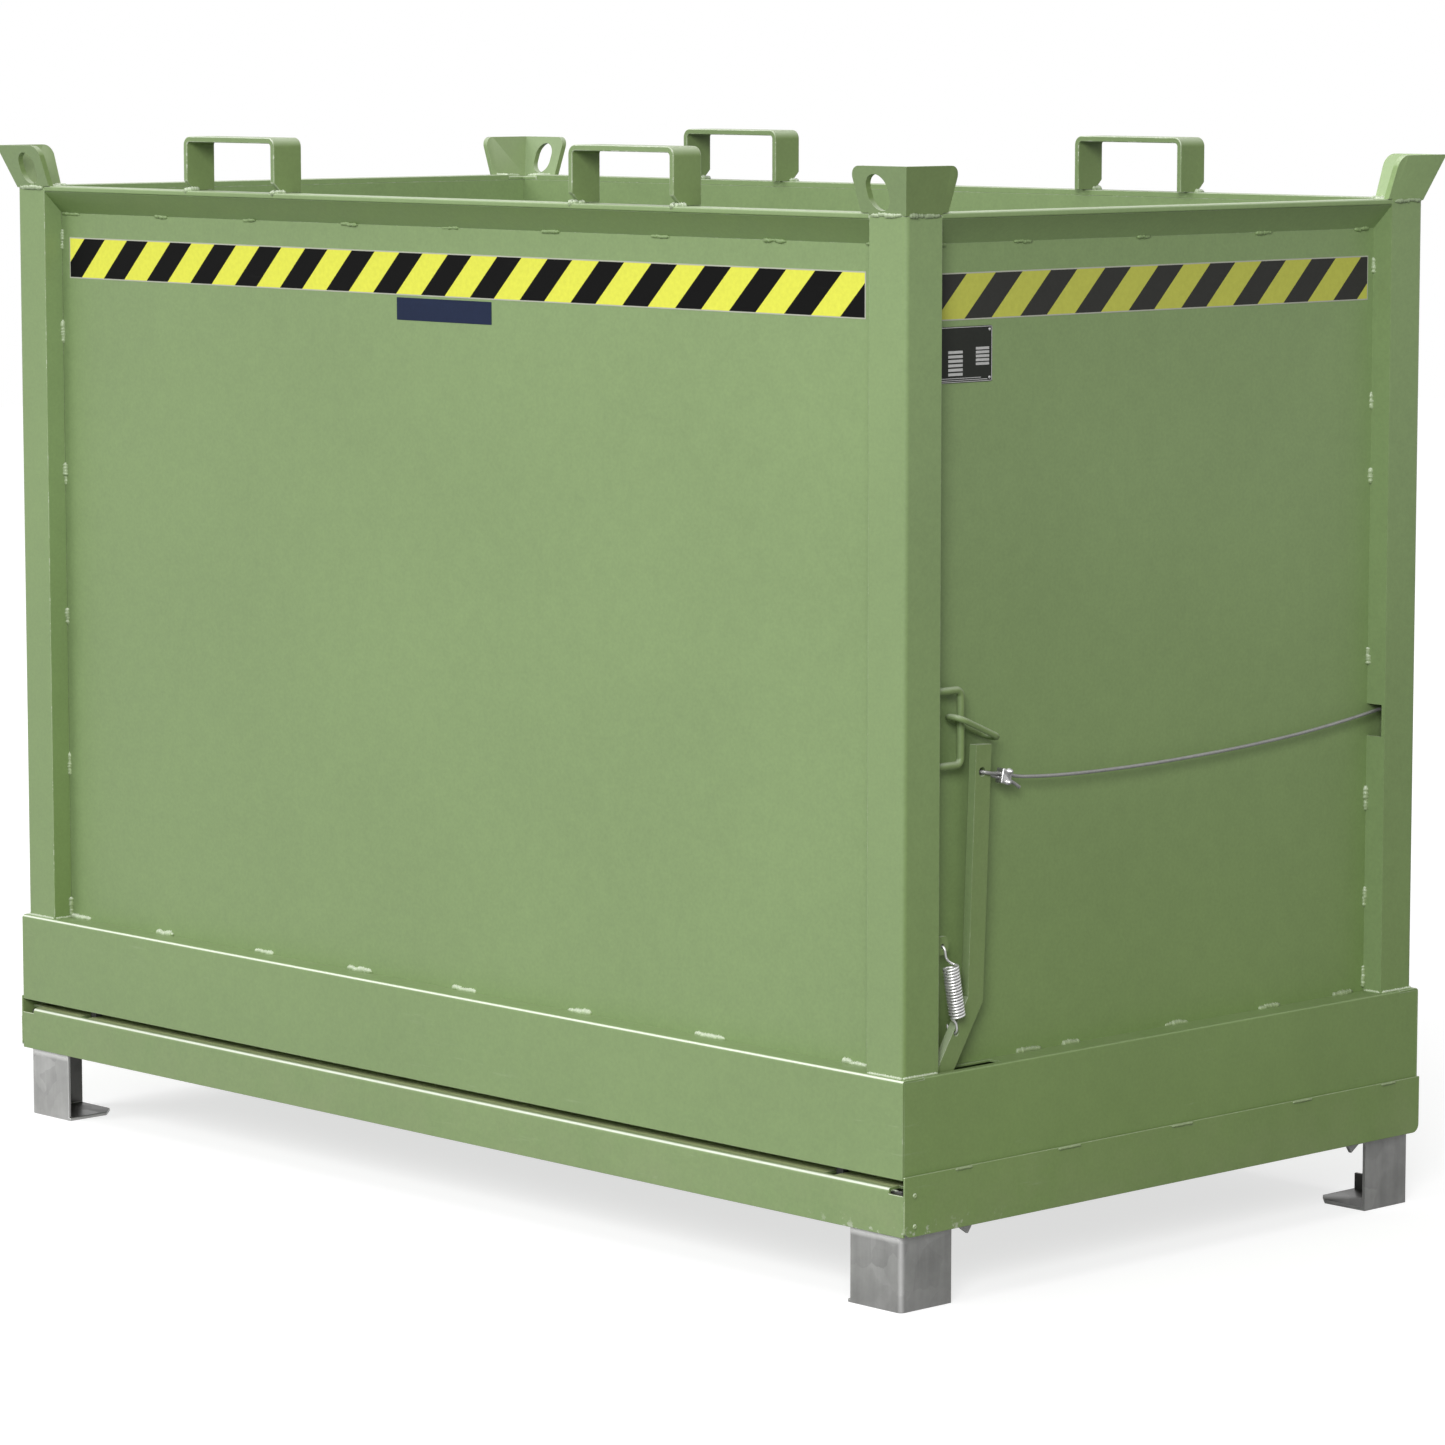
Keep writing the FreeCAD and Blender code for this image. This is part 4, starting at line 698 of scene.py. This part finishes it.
# The rope's clip is a copy of the CAD's, without the slivers in its mesh
def makeClip():
    build = bmesh.new()
    build.from_mesh(nodes["rope_clip"].data)
    bmesh.ops.remove_doubles(build, verts=build.verts, dist=edgeLook["merge"])
    piece = keepPiece("rope_clip_dressed", build, "latch", brightZinc)
    piece.data.set_sharp_from_angle(angle=edgeLook["turned"])
    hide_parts("rope_clip")


makeClip()


# Weld beads: half buried rippled ropes of weld metal under the paint
weldLook = {
    "stitchLong": 0.047,
    "stitchRound": 0.0046,
    "postLong": 0.034,
    "postRound": 0.0042,
    "flareRound": 0.0027,
    "baseLevel": 0.3028,
    "flareLevel": 1.3505,
    "ripple": 0.0046,
    "jitter": 0.25,
    "sides": 8,
}
stray = random.Random(41).uniform
quarters = [(xSide, ySide) for xSide in (-1, 1) for ySide in (-1, 1)]


def roundRing(build, centre, across, up, radius, sides=weldLook["sides"]):
    ring = []
    for step in range(sides):
        angle = 2 * pi * step / sides
        ring.append(build.verts.new(centre + (across * cos(angle) + up * sin(angle)) * radius))
    return ring


def sweepRings(build, rings, closed=False):
    count = len(rings[0])
    pairs = list(zip(rings, rings[1:]))
    if closed:
        pairs.append((rings[-1], rings[0]))
    for first, second in pairs:
        for step in range(count):
            after = (step + 1) % count
            build.faces.new((first[step], first[after], second[after], second[step]))
    if not closed:
        build.faces.new(list(reversed(rings[0])))
        build.faces.new(rings[-1])


def addBead(build, start, stop, radius, wander=0.0005):
    start, stop = Vector(start), Vector(stop)
    run = stop - start
    away = run.normalized()
    across = away.orthogonal().normalized()
    up = away.cross(across)
    count = max(6, int(run.length / weldLook["ripple"] * 3))
    rings = []
    phase = stray(0, 1) * 6.28
    for step in range(count + 1):
        share = step / count
        size = radius * (1 + 0.14 * sin(step * 2 * pi / 3 + phase) + stray(-0.12, 0.12))
        ends = min(share, 1 - share) * count
        size *= (0.45, 0.85, 1.06)[int(ends)] if ends < 3 else 1.0
        drift = across * stray(-wander, wander) + up * stray(-wander, wander)
        rings.append(roundRing(build, start + run * share + drift * 0.6, across, up, size))
    sweepRings(build, rings)


def addLumpy(build, start, stop, radius):
    # A hand weld of several short overlapping passes
    start, stop = Vector(start), Vector(stop)
    count = max(2, round((stop - start).length / 0.015))
    for turn in range(count):
        low = start.lerp(stop, max(0.0, (turn - 0.2) / count))
        high = start.lerp(stop, min(1.0, (turn + 1.2) / count))
        shift = Vector([stray(-0.0010, 0.0010) for axis in range(3)])
        addBead(build, low + shift, high + shift, radius * stray(0.75, 1.15), 0.0009)


def addCollar(build, centre, axis, around, radius):
    # A ring of weld where a bar meets a plate
    centre, axis = Vector(centre), Vector(axis).normalized()
    side = axis.orthogonal().normalized()
    other = axis.cross(side)
    count = max(18, int(2 * pi * around / weldLook["ripple"] * 3))
    rings = []
    for step in range(count):
        angle = 2 * pi * step / count
        outward = side * cos(angle) + other * sin(angle)
        size = radius * (1 + 0.14 * sin(step * 2 * pi / 3) + stray(-0.06, 0.06))
        rings.append(roundRing(build, centre + outward * around, outward, axis, size))
    sweepRings(build, rings, closed=True)


def keepWelds(name, build, body, material=beadPaint):
    bmesh.ops.recalc_face_normals(build, faces=build.faces)
    keepPiece(name, build, body, material)


def addSeam(build, centre, axis, spread, radius):
    # A hand weld to both sides of its centre, along one axis
    low, high = list(centre), list(centre)
    low[axis] -= spread
    high[axis] += spread
    addLumpy(build, low, high, radius)


def makePanelWelds():
    # Stitches between panel, band, flare and posts
    main, under, dull = bmesh.new(), bmesh.new(), bmesh.new()
    long, jitter, post = weldLook["stitchLong"], weldLook["jitter"], weldLook["postLong"]
    base, thick = weldLook["baseLevel"], weldLook["stitchRound"]
    flare, thin = weldLook["flareLevel"], weldLook["flareRound"]
    for side in (-1, 1):
        for x in (-0.832, -0.631, -0.398, -0.185, 0.041, 0.278, 0.534, 0.805):
            spread = long * (1 + stray(-jitter, jitter)) / 2
            addSeam(main, (-side * x, side * 0.468, base), 0, spread, thick)
        for x in (-0.835, -0.62, -0.416, -0.195, 0.02, 0.225, 0.44, 0.655, 0.835):
            addSeam(under, (x, side * 0.4683, flare), 0, stray(0.011, 0.021), thin)
        for y in (-0.236, -0.156, 0.050, 0.237, 0.391):
            addSeam(dull, (side * 0.890, y, base), 1, long * stray(0.35, 0.5), thick)
        for y in (-0.41, -0.255, -0.028, 0.209, 0.408):
            addSeam(under, (side * 0.8903, y, flare), 1, stray(0.011, 0.019), thin)
    for xSide, ySide in quarters:
        for z in (1.318, 1.178, 0.971, 0.751, 0.539, 0.321):
            low = z + stray(-0.008, 0.008)
            addSeam(main, (xSide * 0.857, ySide * 0.468, low), 2, post * stray(0.35, 0.6),
                    weldLook["postRound"])
        for z in (1.30, 1.111, 1.008, 0.770, 0.572, 0.434, 0.318):
            low = z + stray(-0.006, 0.006)
            addSeam(main, (xSide * 0.890, ySide * 0.435, low), 2, post * stray(0.3, 0.5),
                    weldLook["postRound"])
    keepWelds("flareWelds", under, "container", flareBeadPaint)
    keepWelds("sideWelds", dull, "container", dullBeadPaint)
    keepWelds("panelWelds", main, "container")


def makeCornerWelds():
    # Post feet on the band, lugs on the posts, rim bars between the posts
    main, dull = bmesh.new(), bmesh.new()
    runs = (
        (addBead, main, 0.859, 0.500, 0.921, 0.500, 0.302, 0.0026),
        (addBead, main, 0.922, 0.499, 0.922, 0.437, 0.302, 0.0026),
        (addBead, main, 0.857, 0.498, 0.857, 0.470, 0.302, 0.0024),
        (addBead, main, 0.920, 0.435, 0.892, 0.435, 0.302, 0.0024),
        (addLumpy, main, 0.861, 0.4998, 0.917, 0.4998, 1.3885, 0.0032),
        (addLumpy, dull, 0.9218, 0.495, 0.9218, 0.440, 1.3885, 0.0030),
        (addLumpy, main, 0.862, 0.490, 0.905, 0.490, 1.3885, 0.0042),
        (addLumpy, dull, 0.912, 0.480, 0.912, 0.445, 1.3885, 0.0042),
        (addBead, main, 0.857, 0.498, 0.857, 0.468, 1.390, 0.0030),
        (addBead, main, 0.920, 0.435, 0.890, 0.435, 1.390, 0.0030),
    )
    for xSide, ySide in quarters:
        for lay, build, x, y, endX, endY, z, radius in runs:
            lay(build, (xSide * x, ySide * y, z), (xSide * endX, ySide * endY, z), radius)
    keepWelds("lugWelds", dull, "container", dullBeadPaint)
    keepWelds("cornerWelds", main, "container")


def makeLoopWelds():
    build = bmesh.new()
    for label in family("loop", corners):
        low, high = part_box(label)
        face = -1 if low.y < 0 else 1
        for x in (low.x, low.x + 0.008, high.x - 0.008, high.x):
            addLumpy(build, (x, face * 0.4975, 1.3915), (x, face * 0.479, 1.3915), 0.0042)
        for x in (low.x, high.x - 0.008):
            addBead(build, (x + 0.0005, face * 0.4985, 1.3910), (x + 0.0075, face * 0.4985, 1.3910), 0.0040)
    keepWelds("loopWelds", build, "container")


def makeLatchWelds():
    # Staple and spring tab on the corner post, bearings and hinge ears on the base
    build = bmesh.new()
    low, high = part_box("staple")
    middle = (low.x + high.x) / 2
    for z in (low.z + 0.005, high.z - 0.005):
        addCollar(build, (middle, -0.4352, z), (0, 1, 0), 0.0054, 0.0022)
    low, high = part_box("spring_tab")
    for x in (low.x, high.x):
        addBead(build, (x, -0.4352, low.z + 0.001), (x, -0.4352, high.z - 0.001), 0.0022)
    for label in family("hinge_ears", row):
        low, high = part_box(label)
        for x in (low.x, high.x):
            addBead(build, (x, 0.5072, 0.183), (x, 0.5072, high.z - 0.006), 0.0026)
    keepWelds("latchWelds", build, "container")


def makeFlapWelds():
    # Under the floor plate, on the lips and around the feet
    build = bmesh.new()
    dull = bmesh.new()
    for side in (-1, 1):
        for y in (-0.40, -0.203, 0.016, 0.259, 0.44):
            spread = stray(0.014, 0.024)
            addBead(dull, (side * 0.9338, y - spread, 0.1765), (side * 0.9338, y + spread, 0.1765), 0.0017)
        for z in (0.153, 0.113):
            addCollar(build, (side * 0.9333, -0.489, z), (1, 0, 0), 0.0018, 0.0018)
        addBead(build, (side * 0.9325, -0.5066, 0.104), (side * 0.9325, -0.5066, 0.150), 0.0010, 0.0002)
    for x in (-0.620, -0.207, 0.207, 0.620):
        for y in (-0.36, -0.12, 0.12, 0.36):
            for edge in (-0.004, 0.004):
                addBead(build, (x + edge, y - 0.02, 0.1578), (x + edge, y + 0.02, 0.1578), 0.0030)
    for xSide, ySide in quarters:
        for x in (0.835, 0.900):
            addBead(build, (xSide * x, ySide * 0.4985, 0.1565),
                    (xSide * (x + 0.016), ySide * 0.4985, 0.1565), 0.0020)
    keepWelds("lipWelds", dull, "bottom_flap", dullBeadPaint)
    keepWelds("flapWelds", build, "bottom_flap")


def makeShaftWelds():
    build = bmesh.new()
    for label in ("hook_left", "hook_right", "lever"):
        low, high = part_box(label)
        for x in (low.x, high.x):
            addCollar(build, (x, -0.484, 0.195), (1, 0, 0), 0.0112, 0.0020)
    keepWelds("shaftWelds", build, "latch")


makePanelWelds()
makeCornerWelds()
makeLoopWelds()
makeLatchWelds()
makeFlapWelds()
makeShaftWelds()
print("hopper: welds laid")


# Flat patches on a panel: tape, label and plate are thin sheets with cut corners
sheetAxes = {"front": ((1, 0, 0), (0, -1, 0)), "right": ((0, 1, 0), (1, 0, 0))}


def makePatch(name, side, origin, size, thick, corner, material, cells=1):
    origin, up = Vector(origin), Vector((0, 0, 1))
    across, out = [Vector(axis) for axis in sheetAxes[side]]
    outline = []
    for cornerX, cornerY, turn in ((size[0], size[1], 0), (0, size[1], 90), (0, 0, 180), (size[0], 0, 270)):
        inX = corner if cornerX == 0 else cornerX - corner
        inY = corner if cornerY == 0 else cornerY - corner
        for step in range(5):
            angle = radians(turn + step * 22.5)
            outline.append((inX + corner * cos(angle), inY + corner * sin(angle)))
    build = bmesh.new()
    loops = []
    for lift, shrink in ((0.0, 0.0), (thick * 0.7, 0.0), (thick, thick * 0.4)):
        ring = []
        for x, y in outline:
            x = min(max(x, shrink), size[0] - shrink)
            y = min(max(y, shrink), size[1] - shrink)
            ring.append(build.verts.new(origin + across * x + up * y + out * lift))
        loops.append(ring)
    sweepRings(build, loops)
    bmesh.ops.recalc_face_normals(build, faces=build.faces)
    for cut in range(1, cells):
        bmesh.ops.bisect_plane(build, geom=build.verts[:] + build.edges[:] + build.faces[:],
                plane_co=origin + across * (size[0] * cut / cells), plane_no=across)
    keepPiece(name, build, "container", material, smooth=False)


tapePlan = {
    "front": {"axis": 0, "ends": (-0.839, 0.820), "low": 1.256, "high": 1.316, "firstBlack": -0.740,
              "level": 1.275, "inks": ("yellow", "black")},
    "right": {"axis": 1, "ends": (-0.434, 0.424), "low": 1.254, "high": 1.314, "firstBlack": -0.3455,
              "level": 1.273, "inks": ("rightSideYellow", "rightSideBlack")},
}
sheetLook = {
    "tapeThick": 0.0004,
    "labelThick": 0.0005,
    "corner": 0.0012,
}
for side, plane, cells in (("front", -0.46802, 20), ("right", 0.89002, 12)):
    plan = tapePlan[side]
    start, stop = plan["ends"]
    origin = [plane, plane, plan["low"]]
    origin[plan["axis"]] = start
    makePatch("hazard_tape_" + side, side, origin, (stop - start, plan["high"] - plan["low"]),
            sheetLook["tapeThick"], sheetLook["corner"], makeTape(side + "TapeInk", **plan), cells)
makePatch("bare_label", "front", (-0.094, -0.46802, 1.222), (0.198, 0.031), sheetLook["labelThick"],
        sheetLook["corner"], labelInk)

plateLook = {
    "corner": (-0.442, 1.175),
    "size": (0.130, 0.071),
    "thick": 0.0010,
    "round": 0.003,
    "border": 0.0016,
    "foil": 0.0004,
    "thin": 0.0009,
    "rivetIn": 0.005,
}


def makeRatingPlate():
    left, bottom = plateLook["corner"]
    wide, tall = plateLook["size"]
    edge, foil, thin = plateLook["border"], plateLook["foil"], plateLook["thin"]
    face = 0.890 + plateLook["thick"]
    makePatch("blank_plate", "right", (0.88998, left, bottom), (wide, tall), plateLook["thick"],
            plateLook["round"], plateBlack)
    build = bmesh.new()

    def bar(y, z, long, high):
        # Printed foil bars stand a hair above the plate
        low = Vector((face - foil / 2, left + y, bottom + z))
        middle = low + Vector((foil / 2, long / 2, high / 2))
        made = bmesh.ops.create_cube(
            build, size=1.0, matrix=Matrix.Translation(middle) @ Matrix.Diagonal((foil, long, high, 1.0)))
        rims = list(dict.fromkeys(rim for vert in made["verts"] for rim in vert.link_edges))
        bmesh.ops.bevel(build, geom=rims, offset=0.00012, segments=1, affect="EDGES")

    bar(edge, 0.0006, wide - 2 * edge, thin)
    bar(edge, tall - 0.0015, wide - 2 * edge, thin)
    bar(0.0006, edge, thin, tall - 2 * edge)
    bar(wide - 0.0015, edge, thin, tall - 2 * edge)
    for row in range(6):
        bar(0.050, 0.0090 + row * 0.0056, 0.026, 0.0036)
    for row in range(5):
        bar(0.100, 0.0212 + row * 0.0049, 0.024, 0.0034)
    for row, long in enumerate((0.112, 0.100)):
        bar(0.009, 0.0028 + row * 0.0025, long, thin)
    keepPiece("blank_plate_foil", build, "container", plateSilver, smooth=False)
    build = bmesh.new()
    inset = plateLook["rivetIn"]
    for y in (inset, wide - inset):
        for z in (inset, tall - inset):
            addDome(build, Vector((face - 0.0001, left + y, bottom + z)), Vector((1, 0, 0)), 0.0021, 0.0009)
    keepPiece("blank_plate_rivets", build, "container", brightZinc)


def addDome(build, centre, axis, radius, tall, sides=14):
    side = axis.orthogonal().normalized()
    other = axis.cross(side)
    rings = []
    for size, lift in ((1.0, 0.0), (1.0, 0.25), (0.86, 0.62), (0.55, 0.9), (0.2, 1.0)):
        rings.append(roundRing(build, centre + axis * (tall * lift), side, other, radius * size, sides))
    sweepRings(build, rings)


makeRatingPlate()
print("hopper: tape, label and plate on")


# A round or lobed section carried along a line, without twist of its own
def carriedFrames(points):
    frames = []
    up = None
    for place, point in enumerate(points):
        before = points[max(place - 1, 0)]
        after = points[min(place + 1, len(points) - 1)]
        along = (after - before).normalized()
        if up is None:
            up = along.orthogonal().normalized()
        up = (up - along * up.dot(along)).normalized()
        frames.append((point, up, along.cross(up)))
    return frames


def evenly(points, step):
    # The same line with its points a fixed step apart
    result = [points[0].copy()]
    carry = 0.0
    for first, second in zip(points, points[1:]):
        length = (second - first).length
        at = step - carry
        while at <= length:
            result.append(first.lerp(second, at / length))
            at += step
        carry = length - (at - step)
    if (result[-1] - points[-1]).length > step * 0.3:
        result.append(points[-1].copy())
    return result


def splinePoints(name, controls, step):
    # Points read from a NURBS spline whose control points are the route
    curve = bpy.data.curves.new(name, "CURVE")
    curve.dimensions = "3D"
    curve.resolution_u = 24
    spline = curve.splines.new("NURBS")
    spline.points.add(len(controls) - 1)
    for point, place in zip(spline.points, controls):
        point.co = (place[0], place[1], place[2], 1.0)
    spline.order_u = 3
    spline.use_endpoint_u = True
    holder = placed(name, curve)
    mesh = bpy.data.meshes.new_from_object(holder)
    points = [vert.co.copy() for vert in mesh.vertices]
    bpy.data.objects.remove(holder)
    bpy.data.curves.remove(curve)
    bpy.data.meshes.remove(mesh)
    return evenly(points, step)


def sweepMesh(name, frames, section, material, replaced, body=None):
    build = bmesh.new()
    rings = []
    for place, (point, up, side) in enumerate(frames):
        rings.append([build.verts.new(point + up * x + side * y) for x, y in section(place)])
    sweepRings(build, rings)
    bmesh.ops.recalc_face_normals(build, faces=build.faces)
    piece = keepPiece(name, build, body, material)
    piece.data.set_sharp_from_angle(angle=edgeLook["swept"])
    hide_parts(replaced)
    return piece


# Wire rope from the lever's eye over the roller to the pull ring
ropeLook = {
    "radius": 0.0025,
    "strands": 6,
    "lay": 0.030,
    "groove": 0.26,
    "pointsPerStrand": 5,
    "step": 0.0020,
    "route": (
        (0.909, -0.29543, 0.67055), (0.909, -0.28108, 0.66737), (0.908, -0.262, 0.6652), (0.908, -0.215, 0.6622),
        (0.908, -0.150, 0.6603), (0.907, -0.080, 0.6598), (0.907, -0.005, 0.6606), (0.906, 0.070, 0.6626),
        (0.906, 0.145, 0.6656), (0.905, 0.215, 0.6695), (0.905, 0.280, 0.6742), (0.904, 0.340, 0.6800),
        (0.904, 0.395, 0.6866), (0.903, 0.48116, 0.6980), (0.898, 0.510, 0.664), (0.886, 0.506, 0.622),
        (0.876, 0.5036, 0.595), (0.876, 0.5036, 0.5753)),
    "eyeRoute": (
        (0.909, -0.29572, 0.67061), (0.909, -0.31812, 0.67558), (0.9185, -0.33431, 0.6763),
        (0.9185, -0.351, 0.680), (0.8995, -0.351, 0.680), (0.8995, -0.33431, 0.6763),
        (0.909, -0.31933, 0.67011), (0.909, -0.29365, 0.66442), (0.909, -0.27632, 0.65279)),
}


def strandSection(firstPlace):
    count = ropeLook["strands"] * ropeLook["pointsPerStrand"]

    def section(place):
        twist = 2 * pi * (firstPlace + place) * ropeLook["step"] / ropeLook["lay"]
        points = []
        for step in range(count):
            angle = 2 * pi * step / count
            lobe = abs(cos(ropeLook["strands"] / 2 * angle))
            radius = ropeLook["radius"] * (1 - ropeLook["groove"] + ropeLook["groove"] * sqrt(lobe))
            points.append((radius * cos(angle + twist), radius * sin(angle + twist)))
        return points
    return section


def makeRope():
    points = splinePoints("ropeRoute", ropeLook["route"], ropeLook["step"])
    frames = carriedFrames(points)
    crown = max(range(len(points)), key=lambda place: points[place].z)
    for name, first, stop, bodies, lift in (
            ("rope_run", 0, crown + 1, ("latch", "container"), 0.0),
            ("rope_tail", crown, len(points), ("container", "pull_handle"), 0.02)):
        piece = sweepMesh(name, frames[first:stop], strandSection(first), drawnWire,
                "wire_rope")
        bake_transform(piece)
    eyePoints = splinePoints("ropeEyeRoute", ropeLook["eyeRoute"], ropeLook["step"])
    sweepMesh("rope_eye_strands", carriedFrames(eyePoints), strandSection(7), drawnWire,
            "rope_eye", "latch")


makeRope()


# Return spring between the tab and the lever: end hooks and close turns of bright wire
springLook = {
    "low": (0.909, -0.396, 0.347),
    "up": (0.0, -0.1879, 0.9822),
    "side": (0.0, 0.9822, 0.1879),
    "wire": 0.0016,
    "coil": 0.0094,
    "proud": 0.012,
    "pitch": 0.004,
    "halfTurns": 33,
    "start": 0.025,
    "length": 0.11709,
    "halfSteps": 13,
    "wireSides": 9,
}


def leadIn(first, firstWay, last, lastWay, count=9):
    # Points between two places, leaving one heading and taking the other
    reach = (last - first).length
    points = []
    for step in range(1, count):
        share = step / count
        square, cube = share ** 2, share ** 3
        points.append(first * (2 * cube - 3 * square + 1) + firstWay * (reach * (cube - 2 * square + share))
                      + last * (3 * square - 2 * cube) + lastWay * (reach * (cube - square)))
    return points


def makeSpring():
    low, up, side = Vector(springLook["low"]), Vector(springLook["up"]), Vector(springLook["side"])
    across = Vector((1, 0, 0))

    def at(x, y, z):
        return low + across * x + side * y + up * z

    def coilPoint(half):
        angle = pi * (1.5 + half)
        return at(springLook["proud"] + springLook["coil"] * cos(angle), springLook["coil"] * sin(angle),
                springLook["start"] + springLook["pitch"] * half / 2)

    line = [at(-0.0082, 0, 0.0112)]
    for step in range(9):
        angle = pi * step / 8
        line.append(at(-0.0082 * cos(angle), 0, 0.0082 - 0.0082 * sin(angle)))
    line.append(at(0.0082, 0, 0.0120))
    line += leadIn(line[-1], up, coilPoint(0), across)
    for step in range(springLook["halfTurns"] * springLook["halfSteps"] + 1):
        line.append(coilPoint(step / springLook["halfSteps"]))
    line += leadIn(line[-1], -across, at(0.0055, 0, 0.104), up)
    line.append(at(0.0055, 0, 0.104))
    for step in range(11):
        angle = pi * step / 10
        line.append(at(0.0055 * cos(angle), 0, springLook["length"] - 0.0055 + 0.0055 * sin(angle)))
    line.append(at(-0.0055, 0, springLook["length"] - 0.0085))
    return line


springLine = makeSpring()


def wireSection(place):
    ends = min(place, len(springLine) - 1 - place)
    radius = springLook["wire"] * (0.75 if ends == 0 else 1.0)
    sides = springLook["wireSides"]
    return [(radius * cos(2 * pi * step / sides), radius * sin(2 * pi * step / sides))
            for step in range(sides)]


springPiece = sweepMesh("return_spring_wire", carriedFrames(springLine), wireSection, springWire,
        "return_spring")
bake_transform(springPiece)
print("hopper: spring wound")


# Floor: one pale plane, see-through from below so that the opened flap shows
floorLook = {
    "half": 14.0,
    "seenAlbedo": 0.42,
    "bounceAlbedo": 0.35,
    "seenGlow": (0.70, 0.92),
    "glowFrom": (1.3, 5.5),
    "dimFrom": (-1.4, 0.8),
    "mirrorShare": (1.0, 0.05),
}


def makeFloor():
    material, shader = newMaterial("paleFloor")
    tree = material.node_tree
    tree.nodes.remove(shader)
    path = added("LightPath")
    seen = path.outputs["Is Camera Ray"]
    mirrored = larger(path.outputs["Is Glossy Ray"], path.outputs["Is Transmission Ray"])
    parts = split(objectPlace())
    dimmer = ramp(plus(parts[0], parts[1]), *floorLook["dimFrom"], *floorLook["mirrorShare"])
    mirrored = larger(seen, times(mirrored, dimmer))
    albedo = ramp(seen, 0, 1, floorLook["bounceAlbedo"], floorLook["seenAlbedo"])
    dull = added("BsdfDiffuse", {"Color": grey(albedo)})
    glow = added("Emission")
    away = vectorCalc("LENGTH", objectPlace())["Value"]
    level = ramp(away, *floorLook["glowFrom"], *floorLook["seenGlow"])
    feed(glow, {"Strength": times(mirrored, level)})
    both = added("AddShader", {0: dull.outputs[0], 1: glow.outputs[0]})
    through = added("BsdfTransparent")
    shape = added("NewGeometry")
    choice = added("MixShader", {0: shape.outputs["Backfacing"], 1: both.outputs[0], 2: through.outputs[0]})
    feed(tree.nodes["Material Output"], {"Surface": choice.outputs[0]})
    half = floorLook["half"]
    mesh = bpy.data.meshes.new("pale_floor")
    mesh.from_pydata([(-half, -half, 0), (half, -half, 0), (half, half, 0), (-half, half, 0)], [],
            [(0, 1, 2, 3)])
    mesh.materials.append(material)
    floor = placed("pale_floor", mesh)


makeFloor()


# Studio light: an even white surround, a large lamp on the long side, one by the camera and a soft one above
lightLook = {
    "surround": 0.26,
    "seenSurround": 1.0,
    "key": {"place": (-5.2, -9.1, 6.5), "size": 6.5, "power": 581.0},
    "fill": {"place": (7.8, -9.1, 5.85), "size": 5.2, "power": 1183.0},
    "top": {"place": (0.0, -0.6, 6.0), "size": 6.0, "power": 185.0},
}


def makeWorld():
    world = bpy.data.worlds.new("studioSurround")
    world.use_nodes = True
    scene.world = world
    bench["tree"] = world.node_tree
    back = world.node_tree.nodes["Background"]
    path = added("LightPath")
    seen = larger(path.outputs["Is Camera Ray"], larger(path.outputs["Is Glossy Ray"],
            path.outputs["Is Transmission Ray"]))
    level = ramp(seen, 0, 1, lightLook["surround"], lightLook["seenSurround"])
    feed(back, {"Color": (1, 1, 1, 1), "Strength": level})


def makeLamp(name, place, size, power):
    lamp = bpy.data.lights.new(name, "AREA")
    lamp.shape = "DISK"
    lamp.size = size
    lamp.energy = power
    holder = placed(name, lamp)
    holder.location = place
    holder.rotation_euler = (Vector((0, 0, 0.7)) - Vector(place)).to_track_quat("-Z", "Y").to_euler()


makeWorld()
for lampName in ("key", "fill", "top"):
    makeLamp(lampName + "Lamp", **lightLook[lampName])
print("hopper: studio lit")
